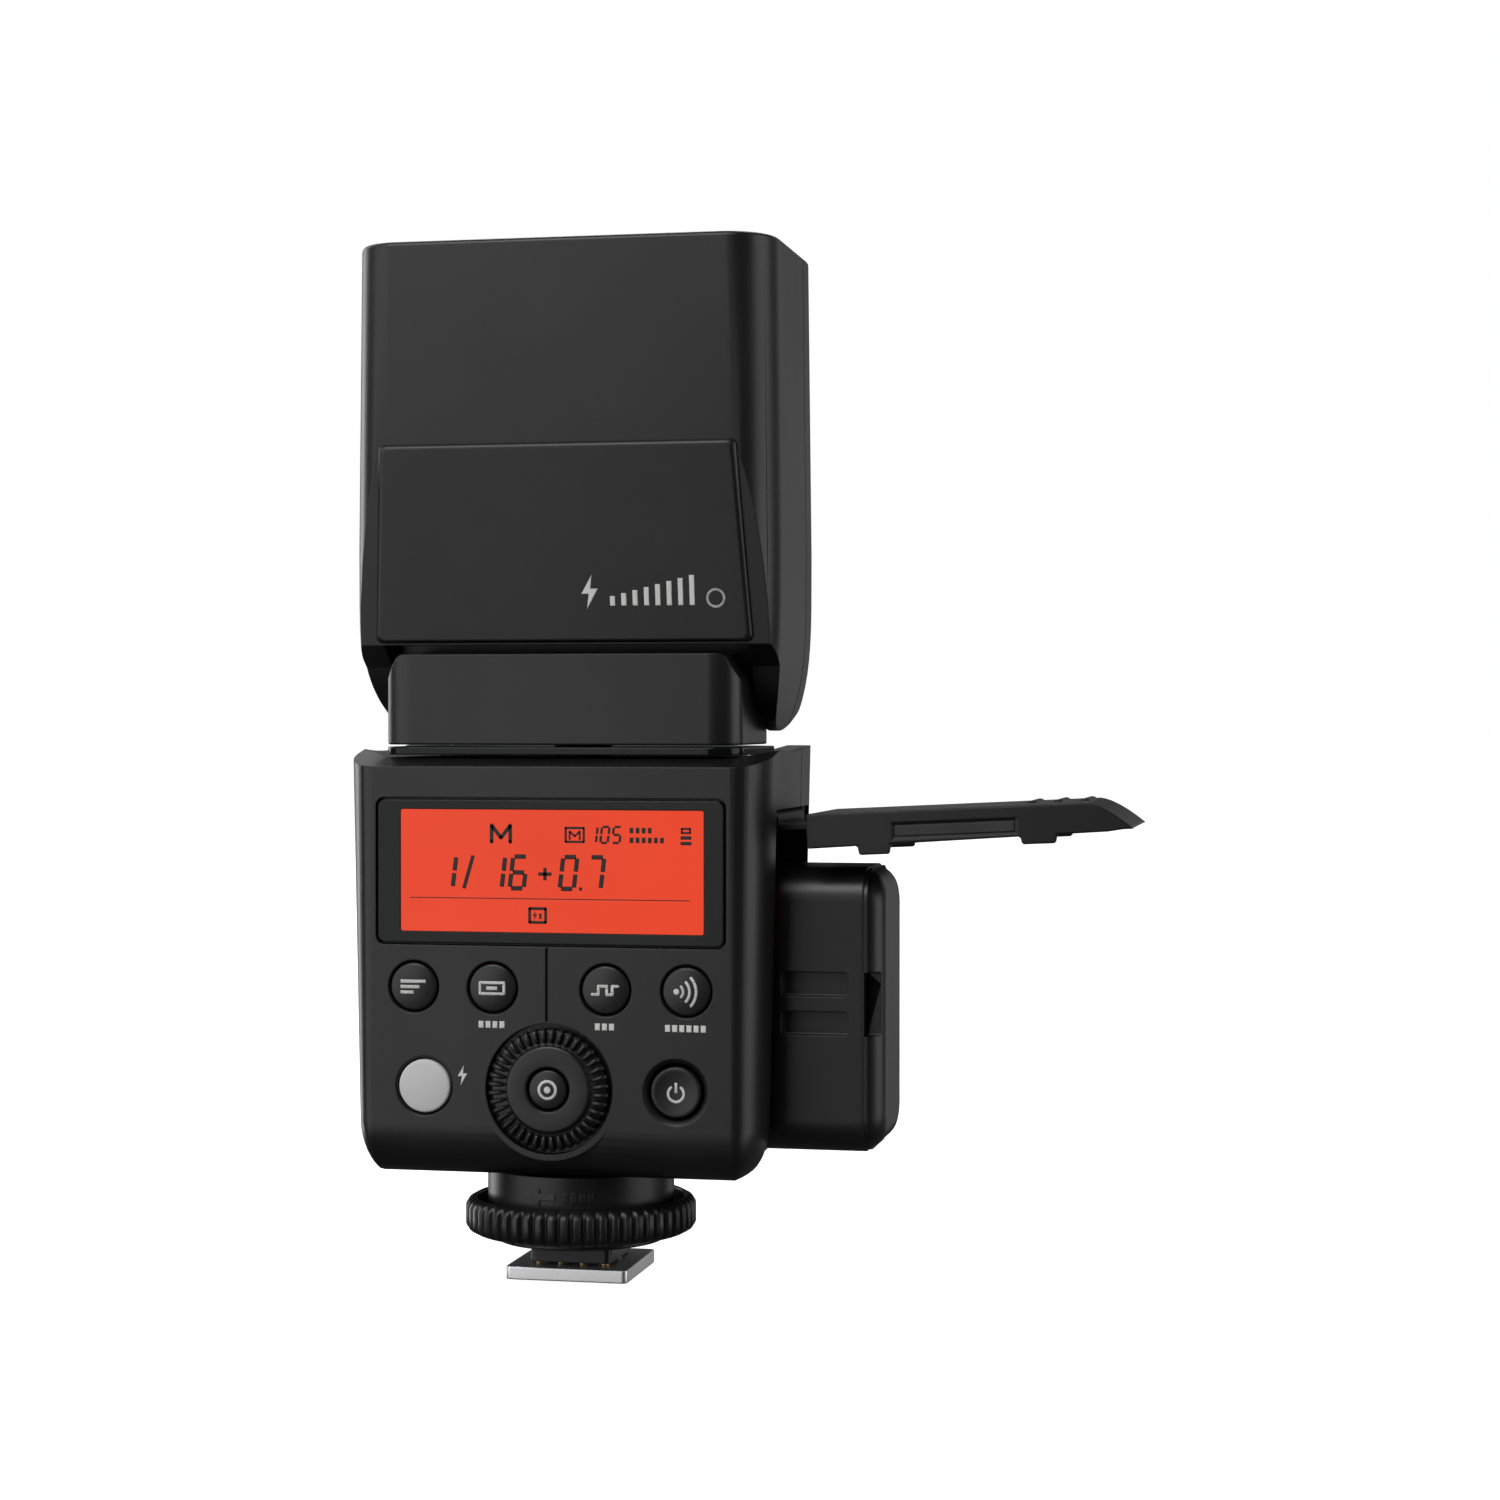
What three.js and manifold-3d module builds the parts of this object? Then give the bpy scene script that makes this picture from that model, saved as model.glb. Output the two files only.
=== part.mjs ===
// Speedlight flash: body with display and dial, side battery bay, swivelling and tilting zoom head.
// Millimetres, +Z up. Origin: centre of the shoe foot's underside. The display faces -Y, the door side is +X.
import * as THREE from 'three';
import { mergeVertices } from 'three/addons/utils/BufferGeometryUtils.js';
import Module from 'manifold-3d';

const wasm = await Module();
wasm.setup();

// ---- driving dimensions ----
const GAP = 0.3;                 // clearance between touching pieces
const CORNER_STEPS = 5;          // facets in a section's corner
const WALL = 2.2;                // body covers
const HEAD_WALL = 1.6;

const BODY = { rear: -18, front: 21.5, floor: 16.4, top: 79, flat: 26.8, bevel: 8.5, corner: 4, half: 31.8 };
const BODY_SEAM_Y = 10.75;
const DISH = { floor: 77.4, inner: 29.3, outer: 34 };      // shallow bowl under the neck

const FOOT = {
  half: 9.3, long: 9, thick: 2, stemHalf: 6.2, stemLong: 6.5, stemTop: 5.2, discR: 13, discTop: 6.1,
};
const RING = {
  outer: 17.3, channel: 15.5, web: 11.4, low: 6.4, webTop: 8.3, top: 11.6, teeth: 40, groove: 0.5,
};
const COLLAR = { outer: 14, step: 11, low: 6.9, stepTop: 8.6 };
const LOCK_PIN = { x: 4.2, y: 4, r: 1.2, low: 0.1, top: 10.2, bore: 12.2 };
const CONTACT = { low: -0.6, top: 3.6, bore: 4.5, centreR: 1.25, smallR: 0.7, y: -5, pitch: 3.35 };

const WINDOW = { half: 25.9, low: 50.5, top: 71.4 };
const BUTTON = { r: 2.9, z: 44.1, innerX: 8.45, outerX: 20.4, face: -18.4, back: -14.6 };
const KEYS_Z = 29.6;
const KEYS_X = 18.8;
const TEST_R = 3.3;
const POWER_R = 3.1;
const DIAL = { r: 9, face: -19.2, seat: -16.7, hubR: 4.4, hubBack: -14.6, bore: 3.2, teeth: 36, rib: 0.45 };

const SWIVEL = { y: 1.5, r: 4.4, bore: 3.1, flange: 8, flat: 6 };
const NECK = {
  half: 27, rearHalf: 23.5, rear: -13.4, front: 16.4, low: 79.3, top: 92.6, shoulder: 88.8,
  shoulderHalf: 24.2, roomHalf: 25.2, wall: 1.6, frontWall: 1.2,
};
const SKIRT = { low: 77.8, top: 79, chamfer: 3.2 };
const TILT = { y: 7.5, z: 95.8, drum: 12, drumBore: 10.5, ear: 14.5, hub: 4, hubBore: 4.25 };

const HEAD = {
  rear: -14.2, front: 22, top: 153.3, earIn: 27.5, seam: 12, kink: 123, hem: 94, hemRear: -10.2,
};
const HEAD_CORNER = { flat: 5.5, bevel: 8, corner: 6 };    // flat is counted in from the side
const HEAD_OPEN = { front: 98.5, rear: 94, roof: 108.6 };
const LENS = { low: 149.2, top: 151, half: 25.7, rear: -7.3, front: 18.3 };
const BEZEL = { low: 146.5, top: 153.1, ledge: 148.9 };
const PANEL = {
  half: 22.5, low: 115, top: 152.6, cardY: -11.2, cardThick: 0.7, wideY: -10.2, wideThick: 0.8,
};

const CARRIAGE = { low: 113.5, top: 116.7, half: 28, rear: -7.2, front: 18.6 };
const REFLECTOR = { low: 117, top: 130, half: 21, rear: -5.5, front: 16.5, tubeY: 5.5, tubeZ: 121 };
const SCREW = { x: 25.3, y: 14, r: 1.2, low: 111, top: 135.9, motorR: 3.4, motorTop: 146.1 };

const HINGE = { x: 29.8, z: 68.2, pin: 0.75, bore: 0.9, knuckle: 1.5 };
const DOOR_RISE = 2.8;           // degrees, the open door above level
const DOOR = {
  rear: -7.6, front: 18, near: 6, bend: 46.6, tip: 53.3, tipN: -3.3, out: 0.75, skin: -0.4,
  wall: 1.1,
};
const DOOR_CUT = { rear: -8, front: 18.4, x: 24.95, top: 69.8 };

const BATTERY = {
  low: 19.2, top: 61.3, rear: -4, front: 16.6, inner: -3.5, seam: 44, end: 46.5, corner: 5,
};
const BAY = { rear: -4.4, front: 16.9, top: 61.8, wall: 1.3, endX: -26.2, flangeX: 23.3, flangeTop: 69.9 };

// ---- materials ----
function finish(color, roughness, metalness) {
  return new THREE.MeshStandardMaterial({ color, roughness, metalness });
}
const blackPlastic = () => finish(0x161617, 0.42, 0);
const darkPlastic = () => finish(0x0d0d0e, 0.6, 0);
const glossBlack = () => finish(0x050506, 0.08, 0);
const screenRed = () => finish(0xf0462d, 0.35, 0);
const greyRubber = () => finish(0x3a3a3c, 0.8, 0);
const lightGrey = () => finish(0x9a9c9e, 0.45, 0);
const boardGreen = () => finish(0x1d4a2c, 0.6, 0);
const steel = () => finish(0xb9bbbd, 0.3, 1);
const brass = () => finish(0xc9a45a, 0.32, 1);
const clearPlastic = () => finish(0xe6e9ec, 0.12, 0);
const whitePlastic = () => finish(0xf2f2f0, 0.5, 0);
const redWindow = () => finish(0x5a0b10, 0.15, 0);

// ---- solids ----
function signedVolume(position, index) {
  let sum = 0;
  const a = new THREE.Vector3();
  const b = new THREE.Vector3();
  const c = new THREE.Vector3();
  for (let i = 0; i < index.length; i += 3) {
    a.fromBufferAttribute(position, index[i]);
    b.fromBufferAttribute(position, index[i + 1]);
    c.fromBufferAttribute(position, index[i + 2]);
    sum += a.dot(b.cross(c));
  }
  return sum;
}

function solid(geometry) {
  geometry.deleteAttribute('normal');
  geometry.deleteAttribute('uv');
  const merged = mergeVertices(geometry, 1e-4);
  const raw = merged.index.array;
  const flip = signedVolume(merged.attributes.position, raw) < 0;
  const kept = [];
  for (let i = 0; i < raw.length; i += 3) {
    const [a, b, c] = [raw[i], raw[i + 1], raw[i + 2]];
    if (a === b || b === c || c === a) continue;
    kept.push(a, flip ? c : b, flip ? b : c);
  }
  const vertProperties = new Float32Array(merged.attributes.position.array);
  const triVerts = new Uint32Array(kept);
  return new wasm.Manifold(new wasm.Mesh({ numProp: 3, vertProperties, triVerts }));
}

function join(first, ...others) {
  return others.reduce((sum, other) => sum.add(other), first);
}

function cut(first, ...others) {
  return others.reduce((rest, other) => rest.subtract(other), first);
}

function box(x0, x1, y0, y1, z0, z1) {
  const geometry = new THREE.BoxGeometry(x1 - x0, y1 - y0, z1 - z0);
  return solid(geometry.translate((x0 + x1) / 2, (y0 + y1) / 2, (z0 + z1) / 2));
}

function rodZ(r, x, y, z0, z1, segments = 24) {
  const geometry = new THREE.CylinderGeometry(r, r, z1 - z0, segments).rotateX(Math.PI / 2);
  return solid(geometry.translate(x, y, (z0 + z1) / 2));
}

function rodY(r, x, z, y0, y1, segments = 24) {
  const geometry = new THREE.CylinderGeometry(r, r, y1 - y0, segments);
  return solid(geometry.translate(x, (y0 + y1) / 2, z));
}

function rodX(r, y, z, x0, x1, segments = 24) {
  const geometry = new THREE.CylinderGeometry(r, r, x1 - x0, segments).rotateZ(Math.PI / 2);
  return solid(geometry.translate((x0 + x1) / 2, y, z));
}

const AXIS = { x: new THREE.Vector3(1, 0, 0), y: new THREE.Vector3(0, 1, 0), z: new THREE.Vector3(0, 0, 1) };

function extruded(points, depth, basis) {
  const shape = new THREE.Shape(points.map(([u, v]) => new THREE.Vector2(u, v)));
  const geometry = new THREE.ExtrudeGeometry(shape, { depth, bevelEnabled: false });
  return geometry.applyMatrix4(new THREE.Matrix4().makeBasis(...basis));
}

// outline in X,Y along Z
function slab(points, z0, z1) {
  return solid(extruded(points, z1 - z0, [AXIS.x, AXIS.y, AXIS.z]).translate(0, 0, z0));
}

// outline in X,Z along Y
function plate(points, y0, y1) {
  const back = AXIS.y.clone().negate();
  return solid(extruded(points, y1 - y0, [AXIS.x, AXIS.z, back]).translate(0, y1, 0));
}

// outline in Y,Z along X
function bar(points, x0, x1) {
  return solid(extruded(points, x1 - x0, [AXIS.y, AXIS.z, AXIS.x]).translate(x0, 0, 0));
}

// closed skin through convex rings with equal point counts
function loft(rings) {
  const count = rings[0].length;
  const position = rings.flat().flatMap((p) => [p.x, p.y, p.z]);
  const index = [];
  for (let r = 0; r + 1 < rings.length; r += 1) {
    for (let i = 0; i < count; i += 1) {
      const a = r * count + i;
      const b = r * count + ((i + 1) % count);
      index.push(a, b, b + count, a, b + count, a + count);
    }
  }
  const last = (rings.length - 1) * count;
  for (let i = 1; i + 1 < count; i += 1) {
    index.push(0, i + 1, i);
    index.push(last, last + i, last + i + 1);
  }
  const geometry = new THREE.BufferGeometry();
  geometry.setAttribute('position', new THREE.Float32BufferAttribute(position, 3));
  geometry.setIndex(index);
  return solid(geometry);
}

// straight-line value of a profile given as [z, value] stations
function along(stations, z) {
  const next = Math.max(1, stations.findIndex(([station]) => station >= z));
  const [z0, v0] = stations[next - 1];
  const [z1, v1] = stations[next];
  return v0 + ((v1 - v0) * (z - z0)) / (z1 - z0);
}

// horizontal section: flat back, elliptical back corners, round front corners
function section({ half, flat, rear, front, bevel, corner }, z) {
  const side = [];
  for (let i = 0; i <= CORNER_STEPS; i += 1) {
    const t = (Math.PI / 2) * (i / CORNER_STEPS);
    side.push([flat + (half - flat) * Math.sin(t), rear + bevel - bevel * Math.cos(t)]);
  }
  for (let i = 0; i <= CORNER_STEPS; i += 1) {
    const t = (Math.PI / 2) * (i / CORNER_STEPS);
    side.push([half - corner + corner * Math.cos(t), front - corner + corner * Math.sin(t)]);
  }
  const other = side.map(([x, y]) => [-x, y]).reverse();
  return [...side, ...other].map(([x, y]) => new THREE.Vector3(x, y, z));
}

function circle(cx, cy, r, from, to, steps) {
  const points = [];
  for (let i = 0; i <= steps; i += 1) {
    const t = THREE.MathUtils.degToRad(from + ((to - from) * i) / steps);
    points.push([cx + r * Math.cos(t), cy + r * Math.sin(t)]);
  }
  return points;
}

// round outline with square ribs
function ribbed(cx, cy, r, depth, teeth) {
  const points = [];
  for (let i = 0; i < teeth * 4; i += 1) {
    const t = ((i + 0.5) * Math.PI) / (teeth * 2);
    const radius = i % 4 < 2 ? r : r - depth;
    points.push([cx + radius * Math.cos(t), cy + radius * Math.sin(t)]);
  }
  return points;
}

const group = new THREE.Group();

function add(name, shape, material, parent = group) {
  const mesh = shape.getMesh();
  const geometry = new THREE.BufferGeometry();
  geometry.setAttribute('position', new THREE.BufferAttribute(new Float32Array(mesh.vertProperties), 3));
  geometry.setIndex(new THREE.BufferAttribute(new Uint32Array(mesh.triVerts), 1));
  const piece = new THREE.Mesh(geometry, material());
  piece.name = name;
  parent.add(piece);
}

// ---- body ----
// stations are [height, half width or Y]
const SIDE_STATIONS = [[16.4, 26.2], [17.7, 28.1], [19.9, 29.5], [24, 30.5], [80, 31.8]];
const BACK_STATIONS = [[16.4, -12.5], [17.7, -15.4], [19.9, -17.2], [24, -18], [80, -18]];
const FRONT_STATIONS = [[16.4, 18.5], [17.7, 20.3], [19.9, 21.2], [24, 21.5], [80, 21.5]];

function bodySolid(inset, low, top) {
  const heights = SIDE_STATIONS.map(([z]) => z).filter((z) => z > low && z < top);
  const rings = [low, ...heights, top].map((z) => {
    const half = along(SIDE_STATIONS, z) - inset;
    const shape = {
      half,
      flat: Math.min(BODY.flat, half - 0.4) - inset * 0.4,
      rear: along(BACK_STATIONS, z) + inset,
      front: along(FRONT_STATIONS, z) - inset,
      bevel: BODY.bevel,
      corner: BODY.corner,
    };
    return section(shape, z);
  });
  return loft(rings);
}

function dishCut() {
  const wide = BODY.half * 2;
  const lift = ((wide - DISH.outer) * (BODY.top - DISH.floor)) / (DISH.outer - DISH.inner);
  const profile = [
    new THREE.Vector2(0, DISH.floor),
    new THREE.Vector2(DISH.inner, DISH.floor),
    new THREE.Vector2(wide, BODY.top + lift),
    new THREE.Vector2(0, BODY.top + lift),
  ];
  const geometry = new THREE.LatheGeometry(profile, 48).rotateX(Math.PI / 2);
  return solid(geometry.translate(0, SWIVEL.y, 0));
}

function rearChamferCut() {
  const slope = 0.21;
  const low = 76.2;
  const outline = [[BODY.rear - 1, low - slope], [2, low + slope * 20], [2, 90], [BODY.rear - 1, 90]];
  return bar(outline, -40, 40);
}

function covers() {
  const outer = bodySolid(0, BODY.floor, BODY.top);
  const inner = bodySolid(WALL, BODY.floor + WALL, DISH.floor - WALL);
  const doorway = box(DOOR_CUT.x, 40, DOOR_CUT.rear, DOOR_CUT.front, 10, DOOR_CUT.top);
  const shaftHole = rodZ(SWIVEL.r + 0.4, 0, SWIVEL.y, 70, 90);
  const dialBoss = rodY(DIAL.r + 1.4, 0, KEYS_Z, BODY.rear, BODY.rear + 4, 40);
  return cut(join(outer, dialBoss), inner, doorway, shaftHole, dishCut(), rearChamferCut());
}

function controlCuts() {
  const cuts = [
    box(-WINDOW.half - GAP, WINDOW.half + GAP, -30, BODY.rear + 1.3, WINDOW.low - GAP, WINDOW.top + GAP),
    box(-WINDOW.half + 3, WINDOW.half - 3, -30, -14, WINDOW.low + 1.3, WINDOW.top - 1.3),
    rodY(DIAL.r + 0.5, 0, KEYS_Z, -30, BODY.rear + 1.6, 40),
    rodY(DIAL.hubR + 0.4, 0, KEYS_Z, -30, -10),
    rodY(TEST_R + GAP, -KEYS_X, KEYS_Z, -30, -14),
    rodY(POWER_R + GAP, KEYS_X, KEYS_Z, -30, -14),
    rodY(POWER_R + 0.9, KEYS_X, KEYS_Z, -30, BODY.rear + 0.8),
  ];
  for (const x of [-BUTTON.outerX, -BUTTON.innerX, BUTTON.innerX, BUTTON.outerX]) {
    cuts.push(rodY(BUTTON.r + GAP, x, BUTTON.z, -30, -14));
  }
  return cuts;
}

// [x0, x1, y0, y1, z0, z1]
const LCD_BOX = [-24.3, 24.3, -15.5, -13, 51, 71];
const MAIN_BOARD_BOX = [-25, 25, -12, -10.6, 20, 73];
const FLASH_BOARD_BOX = [-24, 22, -5, 18, 64.4, 65.8];
const KEY_PAD_BOX = [-24, 24, -13.6, -12.3, 24, 48.5];
const USB_BOX = [-30.6, -24.5, -2, 5.5, 66.8, 69.8];
const USB_HOLE_BOX = [-40, -26, -2.3, 5.8, 66.5, 70.1];
const AF_WINDOW = { half: 10, low: 25, top: 37, thick: 0.95 };

const SCREW_PLACE = { x: 20, y: -8.2, head: 1.5, shank: 0.8, low: 16.6 };

function rearCover(shell) {
  const screwCuts = [-SCREW_PLACE.x, SCREW_PLACE.x].flatMap((x) => [
    rodZ(SCREW_PLACE.head + GAP, x, SCREW_PLACE.y, 10, SCREW_PLACE.low + 1.1, 16),
    rodZ(SCREW_PLACE.shank + GAP, x, SCREW_PLACE.y, 10, 20, 16),
  ]);
  const half = box(-40, 40, -30, BODY_SEAM_Y - GAP / 2, 0, 90);
  return cut(shell.intersect(half), ...controlCuts(), ...screwCuts, box(...USB_HOLE_BOX));
}

function frontCover(shell) {
  const half = box(-40, 40, BODY_SEAM_Y + GAP / 2, 30, 0, 90);
  const { half: windowHalf, low, top, thick } = AF_WINDOW;
  const pocketHalf = windowHalf + GAP;
  const windowPocket = box(-pocketHalf, pocketHalf, BODY.front - thick - 0.35, 30, low - GAP, top + GAP);
  return cut(shell.intersect(half), windowPocket);
}

function bottomScrew(x) {
  const { y, head, shank, low } = SCREW_PLACE;
  return join(rodZ(head, x, y, low, low + 0.9, 16), rodZ(shank, x, y, low + 0.4, low + 4.9, 12));
}

function capButton(r, x, z, face = BUTTON.face) {
  return join(rodY(r, x, z, face, BUTTON.back), rodY(r + 0.6, x, z, -15.5, BUTTON.back));
}

function dialWheel() {
  const wheel = plate(ribbed(0, KEYS_Z, DIAL.r, DIAL.rib, DIAL.teeth), DIAL.face, DIAL.seat);
  const hub = rodY(DIAL.hubR, 0, KEYS_Z, DIAL.seat - 0.5, DIAL.hubBack);
  return cut(join(wheel, hub), rodY(DIAL.bore, 0, KEYS_Z, -30, -10));
}

function dialEncoder() {
  const cup = rodY(5.5, 0, KEYS_Z, -14.3, -12.3);
  return cut(cup, rodY(3.4, 0, KEYS_Z, -15, -13.2));
}

function afWindow() {
  const { half, low, top, thick } = AF_WINDOW;
  return box(-half, half, BODY.front - thick - 0.05, BODY.front - 0.05, low, top);
}

function buildBody() {
  const shell = covers();
  add('rear_cover', rearCover(shell), blackPlastic);
  add('front_cover', frontCover(shell), blackPlastic);
  const { half, low, top } = WINDOW;
  add('display_window', box(-half, half, -17.95, -17, low, top), glossBlack);
  add('lcd_module', box(...LCD_BOX), screenRed);
  add('main_board', box(...MAIN_BOARD_BOX), boardGreen);
  add('flash_board', box(...FLASH_BOARD_BOX), boardGreen);
  add('button_pad', cut(box(...KEY_PAD_BOX), rodY(5.8, 0, KEYS_Z, -20, 0)), greyRubber);
  add('mode_button', capButton(BUTTON.r, -BUTTON.outerX, BUTTON.z), darkPlastic);
  add('zoom_button', capButton(BUTTON.r, -BUTTON.innerX, BUTTON.z), darkPlastic);
  add('sync_button', capButton(BUTTON.r, BUTTON.innerX, BUTTON.z), darkPlastic);
  add('slave_button', capButton(BUTTON.r, BUTTON.outerX, BUTTON.z), darkPlastic);
  add('test_button', capButton(TEST_R, -KEYS_X, KEYS_Z), lightGrey);
  add('power_button', capButton(POWER_R, KEYS_X, KEYS_Z, -18), darkPlastic);
  add('dial_wheel', dialWheel(), darkPlastic);
  add('set_button', rodY(DIAL.bore - 0.35, 0, KEYS_Z, -18.9, -14.4), darkPlastic);
  add('dial_encoder', dialEncoder(), steel);
  add('af_window', afWindow(), redWindow);
  add('usb_socket', box(...USB_BOX), steel);
  add('bottom_screw_left', bottomScrew(-SCREW_PLACE.x), steel);
  add('bottom_screw_right', bottomScrew(SCREW_PLACE.x), steel);
}

// ---- foot ----
function contactPlaces() {
  const { pitch, y, smallR, centreR } = CONTACT;
  const small = [-1.5, -0.5, 0.5, 1.5].map((step) => ({ x: step * pitch, y, r: smallR }));
  return [{ x: 0, y: 0, r: centreR }, ...small];
}

function footBores(top) {
  return contactPlaces().map(({ x, y, r }) => rodZ(r + GAP, x, y, -5, top, 16));
}

function lockRing() {
  const rim = slab(ribbed(0, 0, RING.outer, RING.groove, RING.teeth), RING.low, RING.top);
  const channel = rodZ(RING.channel, 0, 0, RING.webTop, 20, 48);
  return cut(rim, channel, rodZ(RING.web, 0, 0, 0, 20, 40));
}

function buildFoot() {
  const lockBore = rodZ(LOCK_PIN.r + GAP, LOCK_PIN.x, LOCK_PIN.y, -5, LOCK_PIN.bore, 16);
  const { half, long, thick, stemHalf, stemLong, stemTop } = FOOT;
  const footPlate = box(-half, half, -long, long, 0, thick);
  const stem = box(-stemHalf, stemHalf, -stemLong, stemLong, thick + GAP, stemTop + 0.2);
  const block = join(stem, rodZ(FOOT.discR, 0, 0, stemTop, FOOT.discTop, 40));
  const stepped = rodZ(COLLAR.step, 0, 0, COLLAR.low, COLLAR.stepTop + 0.2, 40);
  const collar = join(stepped, rodZ(COLLAR.outer, 0, 0, COLLAR.stepTop, BODY.floor - GAP, 40));
  add('foot_plate', cut(footPlate, lockBore, ...footBores(10)), steel);
  add('foot_block', cut(block, lockBore, ...footBores(CONTACT.bore)), darkPlastic);
  add('foot_collar', cut(collar, lockBore), darkPlastic);
  add('lock_ring', lockRing(), darkPlastic);
  add('lock_pin', rodZ(LOCK_PIN.r, LOCK_PIN.x, LOCK_PIN.y, LOCK_PIN.low, LOCK_PIN.top, 16), steel);
  contactPlaces().forEach(({ x, y, r }, i) => {
    const name = i === 0 ? 'centre_contact' : `small_contact_${i}`;
    add(name, rodZ(r, x, y, CONTACT.low, CONTACT.top, 12), brass);
  });
}

// ---- battery, bay and door ----
// battery section at one X, shrunk all round by inset
function batteryRing(x, inset) {
  const { low, top, rear, front, corner } = BATTERY;
  const r = corner;
  const upper = [[front - r, top - r, 0], [rear + r, top - r, 90]];
  const lower = [[rear + r, low + r, 180], [front - r, low + r, 270]];
  const corners = [...upper, ...lower];
  const round = ([y, z, from]) => circle(y, z, r - inset * 0.99, from, from + 90, CORNER_STEPS);
  const points = corners.flatMap(round);
  return points.map(([y, z]) => new THREE.Vector3(x, y, z));
}

function batteryCase() {
  const { inner, seam } = BATTERY;
  const full = loft([batteryRing(inner, 0), batteryRing(seam - 1.4, 0), batteryRing(seam - GAP, 0.25)]);
  const socket = box(inner - 1, 0.5, 1.7, 10.3, 35.2, 44.8);
  const gripUpper = box(31.5, 41.4, BATTERY.rear - 1, BATTERY.rear + 1.5, 42.4, 46);
  const gripLower = box(31.5, 41.4, BATTERY.rear - 1, BATTERY.rear + 1.5, 36.7, 40.2);
  return cut(full, socket, gripUpper, gripLower);
}

function batteryEndCap() {
  const { seam, end, corner } = BATTERY;
  const depth = 3.9;
  const rings = [];
  for (let i = 0; i <= 4; i += 1) {
    const x = seam + ((end - seam) * i) / 4;
    const back = Math.max(0, x - (end - depth)) / depth;
    rings.push(batteryRing(x, Math.min(depth * (1 - Math.sqrt(1 - back * back)), corner - 1.1)));
  }
  const notch = box(43, 60, BATTERY.rear - 1, BATTERY.rear + 2, 36.7, 46);
  return cut(loft(rings), notch);
}

function batteryBay() {
  const { rear, front, top, wall, endX, flangeX, flangeTop } = BAY;
  const low = BODY.floor + WALL + GAP;
  const flange = box(flangeX, flangeX + wall, -8.8, front + wall + 0.1, low, flangeTop);
  const sleeve = box(endX, flangeX + 0.2, rear - wall, front + wall, low, top + wall);
  const lugs = [[-7.5, -5.4], [15.8, 17.9]].map(([y0, y1]) => box(flangeX + 1, 30.9, y0, y1, 66.4, 69.7));
  const pinBore = rodY(HINGE.pin + 0.15, HINGE.x, HINGE.z, -7.1, 17.5, 16);
  const hollow = box(endX + wall - 0.1, 40, rear, front, 0, top);
  const slots = [[49.4, 58.2], [25.3, 34.5]].flatMap(([z0, z1]) => [
    box(flangeX - 0.02, 30, -9.5, -5.95, z0, z1),
    box(flangeX + 0.4, 30, 16.4, 18.35, z0, z1),
  ]);
  const room = bodySolid(WALL + GAP, low, DISH.floor - WALL);
  return cut(join(join(flange, sleeve).intersect(room), ...lugs), pinBore, hollow, ...slots);
}

// shape drawn as along-door distance and outward distance from the hinge axis, turned to the open pose
function doorPlate(points, y0, y1) {
  const rise = THREE.MathUtils.degToRad(DOOR_RISE);
  const outline = points.map(([s, n]) => [
    HINGE.x + s * Math.cos(rise) - n * Math.sin(rise),
    HINGE.z + s * Math.sin(rise) + n * Math.cos(rise),
  ]);
  return plate(outline, y0, y1);
}

function batteryDoor() {
  const { rear, front, near, bend, tip, tipN, out, skin, wall } = DOOR;
  const outside = [[near, out], [bend, out], [50.4, -0.5], [tip, tipN]];
  const skinOutline = [...outside, [50, -1.4], [bend - 1, skin], [near, skin]];
  const wallOutline = [...outside, [51.8, -3.3], [49.6, -3.55], [46, -3.6], [near, -4.3]];
  const tabs = [[13.2, 18.4, -5.5], [36.9, 42.5, -4.9]];
  const sides = [[rear, rear + wall], [front - wall, front]].flatMap(([y0, y1]) => [
    doorPlate(wallOutline, y0, y1),
    ...tabs.map(([s0, s1, n]) => doorPlate([[s0, -3], [s0, n], [s1, n], [s1, -3]], y0, y1)),
  ]);
  const rib = doorPlate([[13.5, -3], [14.3, -3], [14.3, 0], [13.5, 0]], rear + 1, -4.6);
  const ridge = (s) => [[s - 0.6, out - 0.15], [s + 0.6, out - 0.15], [s, out + 0.4]];
  const grips = [38, 41.9, 45.8].map((s) => doorPlate(ridge(s), 1, 13));
  return join(doorPlate(skinOutline, rear, front), ...sides, rib, ...grips);
}

function hingeArm() {
  const barrel = rodY(HINGE.knuckle, HINGE.x, HINGE.z, -5.1, 15.5, 20);
  const tongue = doorPlate([[0, -1.5], [8.5, -1.5], [8.5, -0.7], [0, -0.7]], -4.6, 15);
  return cut(join(barrel, tongue), rodY(HINGE.bore, HINGE.x, HINGE.z, -10, 20, 16));
}

function buildBattery() {
  add('battery_bay', batteryBay(), darkPlastic);
  add('battery_contacts', box(-24.4, -20.8, 2, 10, 35.5, 44.5), brass);
  const ejector = box(-5.3, -3.8, -3.9, 16.5, 19.2, 61);
  add('battery_ejector', cut(ejector, box(-10, 0, 1.4, 10.6, 34.9, 45.1)), darkPlastic);
  add('battery_case', batteryCase(), blackPlastic);
  add('battery_end_cap', batteryEndCap(), blackPlastic);
  add('door_hinge_pin', rodY(HINGE.pin, HINGE.x, HINGE.z, -7, 17.4, 16), steel);
  add('door_hinge_arm', hingeArm(), steel);
  add('battery_door', batteryDoor(), blackPlastic);
}

// ---- swivel and neck ----
function neckFoot(front) {
  const { half, rearHalf, rear } = NECK;
  const back = rear + SKIRT.chamfer;
  const right = [[rearHalf, rear], [half, back], [half, front - SKIRT.chamfer], [rearHalf, front]];
  const left = right.map(([x, y]) => [-x, y]).reverse();
  return [...right, ...left];
}

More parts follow.
